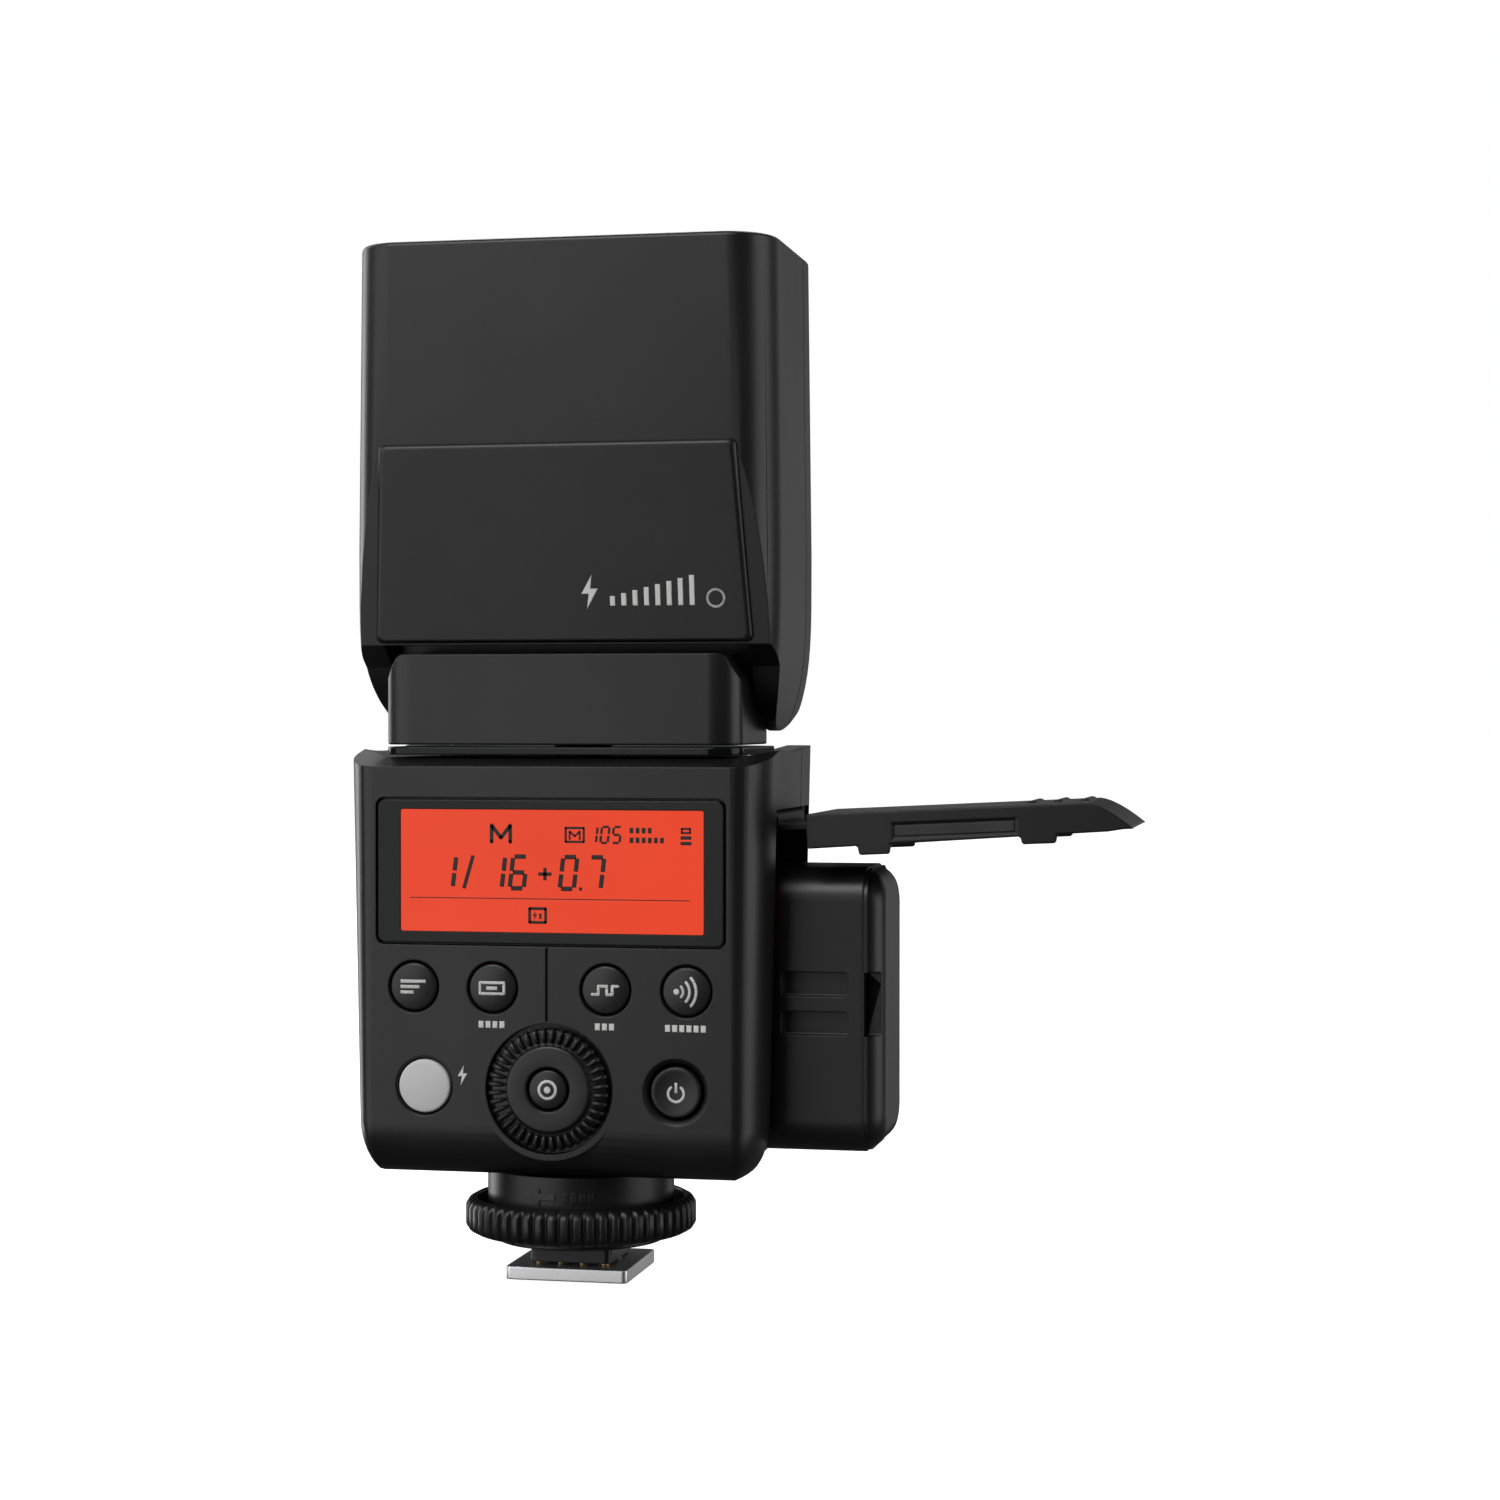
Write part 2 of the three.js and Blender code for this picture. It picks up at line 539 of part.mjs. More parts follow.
function neckSolid() {
  const { half, low, top, shoulder, shoulderHalf, rear, roomHalf, wall, frontWall } = NECK;
  const tall = slab(neckFoot(NECK.front), low, top);
  const rightFace = [[half, low], [half, shoulder], [shoulderHalf, top]];
  const face = [...rightFace, ...rightFace.map(([x, z]) => [-x, z]).reverse()];
  const block = tall.intersect(plate(face, -20, TILT.y));
  const drum = rodX(TILT.drum, TILT.y, TILT.z, -half, half, 48);
  const roomInBlock = box(-roomHalf, roomHalf, rear + wall, TILT.y - frontWall, low + 1.3, top - wall);
  const roomInDrum = rodX(TILT.drumBore, TILT.y, TILT.z, -22.3, 22.3, 36);
  const hubBores = rodX(TILT.hubBore, TILT.y, TILT.z, -40, 40);
  const shaftHole = rodZ(SWIVEL.r + GAP, 0, SWIVEL.y, 70, low + 1.5);
  return cut(join(block, drum), roomInBlock, roomInDrum, hubBores, shaftHole);
}

function swivelShaft() {
  const { y, r, bore, flange, flat } = SWIVEL;
  const low = NECK.low + 1.6;
  const disc = rodZ(flange, 0, y, low, low + 1.4, 32).intersect(box(-20, 20, -20, flat, 60, 90));
  return cut(join(rodZ(r, 0, y, 71, low + 0.6), disc), rodZ(bore, 0, y, 60, 90));
}

function buildNeck() {
  const neck = neckSolid();
  const skirt = slab(neckFoot(NECK.front), SKIRT.low, SKIRT.top);
  const retainer = rodZ(11, 0, SWIVEL.y, 72.2, 73.6, 32);
  const shaftRoom = rodZ(SWIVEL.r + GAP, 0, SWIVEL.y, 60, 90);
  add('neck_rear_shell', neck.intersect(box(-40, 40, -30, TILT.y - GAP / 2, 60, 120)), blackPlastic);
  add('neck_front_shell', neck.intersect(box(-40, 40, TILT.y + GAP / 2, 40, 60, 120)), blackPlastic);
  add('swivel_skirt', cut(skirt, shaftRoom), blackPlastic);
  add('swivel_shaft', swivelShaft(), darkPlastic);
  add('swivel_retainer', cut(retainer, shaftRoom), steel);
  add('main_capacitor', rodX(9, TILT.y, TILT.z, -21, 21, 32), darkPlastic);
}

// ---- head ----
// stations are [height, half width]
const HEAD_FLARE = [[80, 28.3], [82.5, 29.6], [86, 30.8], [91, 31.7], [98, 32.15], [108, 32.2]];
const HEAD_SIDE = [...HEAD_FLARE, [130, 32], [151, 31.7], [154, 31.3]];

function headSolid(inset, low, top) {
  const heights = HEAD_SIDE.map(([z]) => z).filter((z) => z > low && z < top);
  const rings = [low, ...heights, top].map((z) => {
    const half = along(HEAD_SIDE, z) - inset;
    const { flat, bevel, corner } = HEAD_CORNER;
    const shape = {
      half,
      flat: half - flat,
      rear: HEAD.rear + inset,
      front: HEAD.front - inset,
      bevel,
      corner: corner - inset,
    };
    return section(shape, z);
  });
  return loft(rings);
}

// side outline: upright back, kinked in towards the hem, ears round the tilt axis
function headProfile(inset, top) {
  const arc = circle(TILT.y, TILT.z, TILT.ear - inset, 200, 360, 14);
  const back = [[HEAD.rear + inset, top], [HEAD.rear + inset, HEAD.kink], [HEAD.hemRear + inset, HEAD.hem]];
  return bar([...back, ...arc, [HEAD.front - inset, top]], -40, 40);
}

function headShells() {
  const outer = headSolid(0, 80, HEAD.top).intersect(headProfile(0, HEAD.top));
  const { earIn } = HEAD;
  const inside = headProfile(HEAD_WALL, 160);
  const upper = headSolid(HEAD_WALL, HEAD_OPEN.roof, HEAD.top + 0.6).intersect(inside);
  const middle = box(-earIn, earIn, -30, 30, 70, HEAD_OPEN.roof + 1).intersect(inside);
  const frontGap = box(-earIn, earIn, 5, 40, 70, HEAD_OPEN.front);
  const rearGap = box(-earIn, earIn, -40, 12, 70, HEAD_OPEN.rear);
  const hubSeats = rodX(TILT.hubBore, TILT.y, TILT.z, -29.5, 29.5);
  return cut(outer, upper, middle, frontGap, rearGap, hubSeats);
}

function headRearPanel() {
  const face = [[-28.6, 94.3], [28.6, 94.3], [26.9, 123.4], [-26.9, 123.4]];
  const proud = 0.95;
  const { rear, kink, hem, hemRear } = HEAD;
  const top = kink + 1;
  const lean = [[hemRear - proud, hem], [rear - proud, kink], [rear - proud, top], [0, top], [0, hem]];
  const block = plate(face, -20, -4).intersect(bar(lean, -40, 40));
  const backing = headSolid(-GAP, 80, HEAD.top).intersect(headProfile(-GAP, HEAD.top));
  return cut(block, backing);
}

function lensBezel() {
  const { half, rear, front } = LENS;
  const frame = headSolid(HEAD_WALL + GAP, BEZEL.low, BEZEL.top);
  const seat = box(-half - GAP, half + GAP, rear - GAP, front + GAP, BEZEL.ledge, 160);
  const mouth = box(-half + 1.2, half - 1.2, rear + 1.1, front - 1.1, 140, 160);
  const slotHalf = PANEL.half + GAP;
  const slotFront = PANEL.wideY + PANEL.wideThick + GAP;
  const slot = box(-slotHalf, slotHalf, PANEL.cardY - GAP, slotFront, 140, 160);
  return cut(frame, seat, mouth, slot);
}

function reflector() {
  const { low, top, half, rear, front, tubeY, tubeZ } = REFLECTOR;
  const block = box(-half, half, rear, front, low, top);
  const bowl = circle(tubeY, top + 1, 1, 180, 360, 16).map(([y, z]) => [
    tubeY + (y - tubeY) * (front - tubeY - 1),
    top + 1 + (z - top - 1) * (top - low - 0.2),
  ]);
  const trough = bar(bowl, -half + 1, half - 1);
  return cut(block, trough, rodX(2.3, tubeY, tubeZ, -40, 40));
}

function zoomCarriage() {
  const { low, top, half, rear, front } = CARRIAGE;
  const base = box(-half + 3, half, rear, front, low, top);
  return cut(base, rodZ(SCREW.r + GAP, SCREW.x, SCREW.y, 100, 140, 16));
}

function tiltHub(side) {
  const ends = [22.9, 29.2].map((x) => x * side).sort((a, b) => a - b);
  return rodX(TILT.hub, TILT.y, TILT.z, ...ends);
}

function buildHead() {
  const shells = headShells();
  const { half, low, top, cardY, cardThick, wideY, wideThick } = PANEL;
  add('head_rear_shell', shells.intersect(box(-40, 40, -30, HEAD.seam - GAP / 2, 60, 200)), blackPlastic);
  add('head_front_shell', shells.intersect(box(-40, 40, HEAD.seam + GAP / 2, 60, 60, 200)), blackPlastic);
  add('head_rear_panel', headRearPanel(), blackPlastic);
  add('tilt_hub_left', tiltHub(-1), steel);
  add('tilt_hub_right', tiltHub(1), steel);
  add('lens_bezel', lensBezel(), darkPlastic);
  add('fresnel_lens', box(-LENS.half, LENS.half, LENS.rear, LENS.front, LENS.low, LENS.top), clearPlastic);
  add('reflector', reflector(), steel);
  add('flash_tube', rodX(2, REFLECTOR.tubeY, REFLECTOR.tubeZ, -23, 23), clearPlastic);
  add('zoom_carriage', zoomCarriage(), darkPlastic);
  add('zoom_screw', rodZ(SCREW.r, SCREW.x, SCREW.y, SCREW.low, SCREW.top, 16), brass);
  add('zoom_motor', rodZ(SCREW.motorR, SCREW.x, SCREW.y, SCREW.top + GAP, SCREW.motorTop), steel);
  add('head_board', box(-20, 20, 18.9, 20.1, 112, 140), boardGreen);
  add('panel_guide', box(-27, 27, -8.9, -8.1, 110, 146.2), darkPlastic);
  add('wide_panel', box(-half, half, wideY, wideY + wideThick, low, top), clearPlastic);
  add('bounce_card', box(-half, half, cardY, cardY + cardThick, low, top), whitePlastic);
}

buildBody();
buildFoot();
buildBattery();
buildNeck();
buildHead();

export default group;
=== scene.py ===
import math
import bmesh
import bpy
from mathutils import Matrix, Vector


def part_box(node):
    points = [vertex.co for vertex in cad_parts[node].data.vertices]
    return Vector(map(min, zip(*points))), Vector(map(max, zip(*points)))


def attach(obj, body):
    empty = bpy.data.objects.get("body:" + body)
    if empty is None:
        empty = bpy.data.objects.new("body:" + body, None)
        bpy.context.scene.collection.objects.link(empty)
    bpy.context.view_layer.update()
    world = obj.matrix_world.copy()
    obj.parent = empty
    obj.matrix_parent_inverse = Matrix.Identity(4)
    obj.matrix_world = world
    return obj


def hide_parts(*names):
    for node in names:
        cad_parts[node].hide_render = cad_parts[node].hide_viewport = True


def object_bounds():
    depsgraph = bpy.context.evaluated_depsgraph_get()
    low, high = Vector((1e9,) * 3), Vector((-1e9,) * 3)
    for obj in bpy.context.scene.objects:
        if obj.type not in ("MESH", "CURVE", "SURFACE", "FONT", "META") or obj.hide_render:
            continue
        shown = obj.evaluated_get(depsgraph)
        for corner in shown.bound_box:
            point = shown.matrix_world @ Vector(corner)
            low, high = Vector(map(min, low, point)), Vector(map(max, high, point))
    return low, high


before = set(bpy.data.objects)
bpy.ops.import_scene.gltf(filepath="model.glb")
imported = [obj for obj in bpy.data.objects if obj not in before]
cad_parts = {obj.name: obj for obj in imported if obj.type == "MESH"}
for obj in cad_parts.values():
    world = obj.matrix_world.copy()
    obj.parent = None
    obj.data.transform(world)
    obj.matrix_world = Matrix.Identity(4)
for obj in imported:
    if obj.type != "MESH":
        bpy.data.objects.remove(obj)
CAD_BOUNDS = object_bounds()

MM = 0.001
GAP = 0.3
FAR = 40                  # past the object's sides, for cutting blocks
X, Y, Z = 0, 1, 2

# ---- camera and studio ----
CAMERA = {"x": 113.3, "y": -421.8, "z": 83.67, "yaw": 11.7, "pitch": 0.69, "lens": 69.6}
FLOOR_DROP = 0.05
FLOOR_REACH = 11.8        # metres, like the rest of the studio
BACKDROP = 12.0
WORLD_GLOW = 0.06
FLOOR_GLOW = 0.97
# name: place, target, width, height, watts
SOFTBOXES = {
    "behind_camera": ((-1.1, -1.2, 0.4), (0, 0, 0.09), 2.2, 2.0, 16.0),
    "fill": ((-0.3, -1.0, 1.15), (0, 0, 0.09), 0.9, 0.6, 9.0),
    "right": ((1.2, 0.1, 0.25), (0.03, 0, 0.09), 0.9, 1.2, 5.0),
    "front_right": ((0.5, 1.2, 0.25), (0.03, 0, 0.09), 0.5, 1.2, 0.7),
    "front_fill": ((-0.4, 1.1, 1.3), (0, 0, 0.09), 0.9, 0.7, 7.0),
    "left_rim": ((-1.0, 0.65, 0.3), (-0.03, 0, 0.1), 0.4, 1.2, 5.0),
}

# ---- body ----
LIP = {"height": 7.6, "back": 5.5, "side": 4.1, "front": 3.0}
SIDE_TAPER = 1.3
BODY_CORNER = {"flat": 26.8, "bevel": 8.5, "front": 4}
WALL = 2.2
DISH = {"floor": 77.4, "inner": 29.3, "outer": 34, "reach": 62}
CHAMFER = {"low": 76.2, "slope": 0.21, "end": 2, "top": 90}
DOORWAY = {"x": 24.95, "rear": -8, "front": 18.4, "low": 10, "top": 69.8}
SWIVEL_Y = 1.5
SHAFT_HOLE_R = 4.8
GRIP_ROWS = (46, 50, 54, 58, 62)
SCREW_HOLE = [(0, 10), (2.2, 10), (2.2, 16.4), (1.8, 16.8), (1.8, 17.7), (0, 17.7)]

# ---- rear face ----
SCREEN = {"left": -22.4, "right": 22.9, "above": 1.7, "below": 1.4, "sunk": 0.08}
GROOVE = {"left": -0.5, "right": -0.05, "low": 39.3, "top": 50.0}
DIAL = {"ribs": 40, "inner": 6.4, "seat": -16.7, "bore": 4.4}
KEY_DOME = -0.3
SET_DOME = -0.25
POWER_DISH = 0.3
KEY_EDGE = 0.35
PRINT_ON_KEY = 0.06
SECOND_MARKS = {"zoom": 4, "sync": 3, "slave": 6}
KEY_KINDS = ("mode", "zoom", "sync", "slave")

# ---- foot, door and neck ----
COLLAR = {"r": 14, "step": 11}
RING_TEETH = 56
DOOR_RISE = math.radians(2.8)
DOOR_TABS = ((13.2, 18.4, -5.5), (36.9, 42.5, -4.9))
HUB_HOLE_R = 4.25

# ---- head ----
HEAD_WALL = 1.6
FLARE = {"z": 108, "depth": 3.9, "height": 28, "power": 4.1}
HEAD_TAPER = 0.5
HEAD_CORNER = {"flat": 6.5, "bevel": 8, "front": 6}
KINK_Z = 123
HEM = {"z": 94, "in": 4.0}
EAR_R = 14.5
TILT = {"y": 7.5, "z": 95.8}
EAR_IN = 27.5
OPEN_ROOF = 108.6
PANEL = {"proud": 0.95, "edge": 0.9, "corner": 1.0, "narrower": 1.7, "root": 0.6}
LENS_RIDGES = 17


class Spot:
    """A CAD node's box at rest, in millimetres."""

    def __init__(self, node):
        low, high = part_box(node)
        self.x0, self.y0, self.z0 = (v / MM for v in low)
        self.x1, self.y1, self.z1 = (v / MM for v in high)
        self.cx, self.cy, self.cz = ((a + b) / 2 / MM for a, b in zip(low, high))
        self.half = (self.x1 - self.x0) / 2
        self.r = (self.z1 - self.z0) / 2


# ---- node materials ----
WORN_EDGE = 0.00025
GRAIN_DEPTH = 0.00008


def new_material(name):
    """An empty principled material: itself, its nodes, its links and its shader."""
    material = bpy.data.materials.new(name)
    material.use_nodes = True
    nodes = material.node_tree.nodes
    return material, nodes, material.node_tree.links, nodes["Principled BSDF"]


def noise(nodes, links, scale, detail, stretch=(1, 1, 1)):
    coords = nodes.new("ShaderNodeTexCoord")
    mapping = nodes.new("ShaderNodeMapping")
    mapping.inputs["Scale"].default_value = stretch
    texture = nodes.new("ShaderNodeTexNoise")
    texture.inputs["Scale"].default_value = scale
    texture.inputs["Detail"].default_value = detail
    links.new(coords.outputs["Object"], mapping.inputs["Vector"])
    links.new(mapping.outputs["Vector"], texture.inputs["Vector"])
    return texture.outputs["Fac"]


def ramp(nodes, links, factor, low, high):
    """Colour or grey between low and high, as the factor crosses the middle of its range."""
    node = nodes.new("ShaderNodeValToRGB")
    for element, position, value in zip(node.color_ramp.elements, (0.3, 0.7), (low, high)):
        element.position = position
        element.color = (*value, 1) if isinstance(value, tuple) else (value, value, value, 1)
    links.new(factor, node.inputs["Fac"])
    return node.outputs["Color"]


def edge_mask(nodes, links, radius):
    """A mask that is 1 along sharp edges and 0 on open surfaces, and the rounded normal."""
    bevel = nodes.new("ShaderNodeBevel")
    bevel.samples = 4
    bevel.inputs["Radius"].default_value = radius
    geometry = nodes.new("ShaderNodeNewGeometry")
    dot = nodes.new("ShaderNodeVectorMath")
    dot.operation = "DOT_PRODUCT"
    links.new(bevel.outputs["Normal"], dot.inputs[0])
    links.new(geometry.outputs["Normal"], dot.inputs[1])
    reach = nodes.new("ShaderNodeMapRange")
    reach.inputs["From Min"].default_value = 0.995
    reach.inputs["From Max"].default_value = 0.8
    links.new(dot.outputs["Value"], reach.inputs["Value"])
    return reach.outputs["Result"], bevel.outputs["Normal"]


def blend_colour(nodes, links, factor, a, b):
    mix = nodes.new("ShaderNodeMix")
    mix.data_type = "RGBA"
    for value, socket in ((factor, mix.inputs[0]), (a, mix.inputs[6]), (b, mix.inputs[7])):
        if isinstance(value, (tuple, float)):
            socket.default_value = (*value, 1) if isinstance(value, tuple) else value
        else:
            links.new(value, socket)
    return mix.outputs[2]


def scaled(nodes, links, factor, amount):
    node = nodes.new("ShaderNodeMath")
    node.operation = "MULTIPLY"
    node.inputs[1].default_value = amount
    links.new(factor, node.inputs[0])
    return node.outputs[0]


def moulded(name, dark, light, rough, grain=2600, bump=0.12, wear=None, metallic=0.0,
            stretch=(1, 1, 1), specular=0.5):
    """Moulded plastic or metal: mottled colour, uneven gloss, fine grain and worn edges."""
    material, nodes, links, shader = new_material(name)
    blotches = noise(nodes, links, 90, 4)
    colour = ramp(nodes, links, blotches, dark, light)
    mask, rounded = edge_mask(nodes, links, WORN_EDGE)
    worn = wear or tuple(min(1, c * 1.9 + 0.012) for c in light)
    colour = blend_colour(nodes, links, scaled(nodes, links, mask, 0.5), colour, worn)
    links.new(colour, shader.inputs["Base Color"])
    smears = noise(nodes, links, 35, 5, (1, 1, 0.5))
    links.new(ramp(nodes, links, smears, rough - 0.04, rough + 0.05), shader.inputs["Roughness"])
    fine = noise(nodes, links, grain, 2, stretch)
    relief = nodes.new("ShaderNodeBump")
    relief.inputs["Strength"].default_value = bump
    relief.inputs["Distance"].default_value = GRAIN_DEPTH
    links.new(fine, relief.inputs["Height"])
    links.new(rounded, relief.inputs["Normal"])
    links.new(relief.outputs["Normal"], shader.inputs["Normal"])
    shader.inputs["Metallic"].default_value = metallic
    shader.inputs["Specular IOR Level"].default_value = specular
    return material


def lit(name, colour, strength, rough=0.2):
    """A lit display: an even glow, a little weaker towards its blotches."""
    material, nodes, links, shader = new_material(name)
    glow = ramp(nodes, links, noise(nodes, links, 40, 2), tuple(c * 0.93 for c in colour), colour)
    links.new(glow, shader.inputs["Emission Color"])
    links.new(ramp(nodes, links, noise(nodes, links, 60, 2), rough, rough + 0.06), shader.inputs["Roughness"])
    shader.inputs["Base Color"].default_value = (colour[0] * 0.02, 0, 0, 1)
    shader.inputs["Specular IOR Level"].default_value = 0.3
    shader.inputs["Emission Strength"].default_value = strength
    return material


def glass(name, tint, rough, thin=0.9):
    """Clear or tinted plastic with faint smears."""
    material, nodes, links, shader = new_material(name)
    smears = ramp(nodes, links, noise(nodes, links, 120, 3), rough, rough + 0.08)
    links.new(smears, shader.inputs["Roughness"])
    paler = tuple(min(1, c * 1.04) for c in tint)
    links.new(ramp(nodes, links, noise(nodes, links, 30, 3), tint, paler), shader.inputs["Base Color"])
    shader.inputs["Transmission Weight"].default_value = thin
    shader.inputs["IOR"].default_value = 1.49
    return material


def metal(name, dark, light, rough, wear, grain=900, bump=0.1, stretch=(1, 1, 1)):
    return moulded(name, dark, light, rough, grain=grain, bump=bump, wear=wear, metallic=1.0, stretch=stretch)


LOOKS = {
    "shell": moulded("satin_black_shell", (0.009, 0.009, 0.0093), (0.012, 0.012, 0.0123), 0.36),
    "dark": moulded("matt_black_plastic", (0.007, 0.007, 0.0073), (0.010, 0.010, 0.0103), 0.36, bump=0.2),
    "key": moulded("soft_black_key", (0.009, 0.009, 0.0095), (0.012, 0.012, 0.0125), 0.34, bump=0.1),
    "inner": moulded("inner_black_plastic", (0.007, 0.007, 0.007), (0.011, 0.011, 0.011), 0.55, bump=0.25),
    "gloss": moulded("gloss_black_window", (0.003, 0.004, 0.0035), (0.005, 0.006, 0.0055), 0.12,
                     bump=0.01, specular=0.25),
    "print": moulded("white_print", (0.78, 0.78, 0.77), (0.86, 0.86, 0.85), 0.5, bump=0.05),
    "ink": moulded("display_ink", (0.012, 0.009, 0.008), (0.02, 0.014, 0.012), 0.5, bump=0.02),
    "grey": moulded("light_grey_key", (0.66, 0.66, 0.665), (0.74, 0.74, 0.745), 0.45, bump=0.12),
    "rubber": moulded("grey_rubber_pad", (0.035, 0.035, 0.037), (0.05, 0.05, 0.052), 0.8, bump=0.4),
    "steel": metal("bright_steel", (0.80, 0.80, 0.81), (0.90, 0.90, 0.91), 0.34, (0.9, 0.9, 0.9),
                   bump=0.15, stretch=(1, 12, 1)),
    "pin": metal("dark_pin_steel", (0.20, 0.20, 0.21), (0.28, 0.28, 0.29), 0.35, (0.6, 0.6, 0.6)),
    "brass": metal("contact_brass", (0.60, 0.42, 0.18), (0.72, 0.52, 0.25), 0.28, (0.9, 0.75, 0.45),
                   grain=1200),
    "mirror": metal("reflector_aluminium", (0.82, 0.82, 0.83), (0.9, 0.9, 0.91), 0.18, (0.95, 0.95, 0.95),
                    grain=1600, bump=0.12, stretch=(10, 1, 1)),
    "board": moulded("circuit_board", (0.010, 0.055, 0.022), (0.016, 0.085, 0.034), 0.42, grain=1500,
                     bump=0.3, wear=(0.45, 0.40, 0.2)),
    "white": moulded("white_card", (0.80, 0.80, 0.79), (0.87, 0.87, 0.86), 0.5, bump=0.08),
    "lcd": lit("lit_display", (0.80, 0.052, 0.012), 1.0),
    "clear": glass("clear_acrylic", (0.90, 0.92, 0.93), 0.06),
    "red": glass("red_window", (0.35, 0.01, 0.015), 0.05, thin=0.6),
    "tube": glass("tube_glass", (0.95, 0.96, 0.97), 0.02),
}


# ---- solids: a solid is (points, faces) in millimetres ----
def loft(rings):
    """Skin over rings of equally many points, closed at both ends."""
    count = len(rings[0])
    points = [p for ring in rings for p in ring]
    faces = []
    for r in range(len(rings) - 1):
        for i in range(count):
            a, b = r * count + i, r * count + (i + 1) % count
            faces.append((a, b, b + count, a + count))
    last = (len(rings) - 1) * count
    faces.append(tuple(reversed(range(count))))
    faces.append(tuple(range(last, last + count)))
    return points, faces


def turned(axis, u, v, w):
    """Point with w along the axis; u and v are the other two in X, Y, Z order."""
    return {X: (w, u, v), Y: (u, w, v), Z: (u, v, w)}[axis]


def arc(cu, cv, r, start, end, steps):
    angles = [math.radians(start + (end - start) * i / steps) for i in range(steps + 1)]
    return [(cu + r * math.cos(t), cv + r * math.sin(t)) for t in angles]


def dot(cu, cv, r):
    return arc(cu, cv, r, 0, 330, 11)


def rounded(u0, u1, v0, v1, r, steps=8):
    """Outline of a rectangle with round corners."""
    right, left, high, low = u1 - r, u0 + r, v1 - r, v0 + r
    corners = ((right, high, 0), (left, high, 90), (left, low, 180), (right, low, 270))
    return [point for u, v, start in corners for point in arc(u, v, r, start, start + 90, steps)]


def eased(low, high, edge_low, edge_high, steps=4):
    """[(inset, place along the axis)] for an end-rounded solid."""
    rings = []
    for i in range(steps + 1):
        t = math.radians(90 * i / steps)
        rings.append((edge_low * (1 - math.sin(t)), low + edge_low * (1 - math.cos(t))))
    for i in range(steps + 1):
        t = math.radians(90 * i / steps)
        rings.append((edge_high * (1 - math.cos(t)), high - edge_high * (1 - math.sin(t))))
    kept = [rings[0]]
    for ring in rings[1:]:
        if ring[1] - kept[-1][1] > 1e-6 or abs(ring[0] - kept[-1][0]) > 1e-6:
            kept.append(ring)
    return kept


def soft_block(axis, u0, u1, v0, v1, w0, w1, corner, edge=0.3, edge_high=None, steps=8):
    """Block with rounded corners along the axis and rounded edges at its ends."""
    rings = []
    for inset, w in eased(w0, w1, edge, edge if edge_high is None else edge_high):
        outline = rounded(u0 + inset, u1 - inset, v0 + inset, v1 - inset, max(corner - inset, 0.05), steps)
        rings.append([turned(axis, u, v, w) for u, v in outline])
    return loft(rings)


def block(x0, x1, y0, y1, z0, z1):
    rings = [[(x0, y0, z), (x1, y0, z), (x1, y1, z), (x0, y1, z)] for z in (z0, z1)]
    return loft(rings)


def prism(axis, outline, w0, w1):
    return loft([[turned(axis, u, v, w) for u, v in outline] for w in (w0, w1)])


def lathe(axis, cu, cv, profile, steps=64, wave=None):
    """Profile [(radius, w)] turned round the axis. wave(angle, radius) gives a changed radius."""
    points, rings, faces = [], [], []
    for radius, w in profile:
        if radius == 0:
            rings.append([len(points)])
            points.append(turned(axis, cu, cv, w))
            continue
        ring = []
        for i in range(steps):
            t = math.tau * i / steps
            r = wave(t, radius) if wave else radius
            ring.append(len(points))
            points.append(turned(axis, cu + r * math.cos(t), cv + r * math.sin(t), w))
        rings.append(ring)
    for a, b in zip(rings, rings[1:]):
        for i in range(steps):
            j = (i + 1) % steps
            if len(a) == 1:
                faces.append((a[0], b[i], b[j]))
            elif len(b) == 1:
                faces.append((a[i], b[0], a[j]))
            else:
                faces.append((a[i], a[j], b[j], b[i]))
    for ring in (rings[0], rings[-1]):
        if len(ring) > 1 and profile[0] != profile[-1]:
            faces.append(tuple(ring))
    return points, faces


def rod(axis, cu, cv, r, w0, w1, steps=48):
    return lathe(axis, cu, cv, [(r, w0), (r, w1)], steps)


def together(*solids):
    """Several separate solids as one."""
    points, faces = [], []
    for more_points, more_faces in solids:
        start = len(points)
        points += more_points
        faces += [tuple(start + i for i in face) for face in more_faces]
    return points, faces


def to_object(solid, name="work"):
    """A solid as a mesh object, still in millimetres."""
    points, faces = solid
    data = bpy.data.meshes.new(name)
    data.from_pydata(points, [], faces)
    mesh = bmesh.new()
    mesh.from_mesh(data)
    bmesh.ops.remove_doubles(mesh, verts=mesh.verts, dist=1e-5)
    bmesh.ops.recalc_face_normals(mesh, faces=mesh.faces)
    mesh.to_mesh(data)
    mesh.free()
    obj = bpy.data.objects.new(name, data)
    bpy.context.scene.collection.objects.link(obj)
    return obj


def carve(solid, steps):
    """Applies [(operation, solid)] one after the other and returns the result as a solid."""
    base = to_object(solid)
    tools = []
    for operation, tool in steps:
        obj = to_object(tool)
        tools.append(obj)
        modifier = base.modifiers.new("cut", "BOOLEAN")
        modifier.operation = operation
        modifier.solver = "MANIFOLD"
        modifier.object = obj
    bpy.context.view_layer.update()
    result = base.evaluated_get(bpy.context.evaluated_depsgraph_get()).to_mesh()
    points = [tuple(v.co) for v in result.vertices]
    faces = [tuple(p.vertices) for p in result.polygons]
    for obj in [base, *tools]:
        bpy.data.objects.remove(obj)
    return points, faces


def cut(solid, *tools):
    return carve(solid, [("DIFFERENCE", tool) for tool in tools])


def join(solid, *tools):
    return carve(solid, [("UNION", tool) for tool in tools])


def common(solid, *tools):
    return carve(solid, [("INTERSECT", tool) for tool in tools])


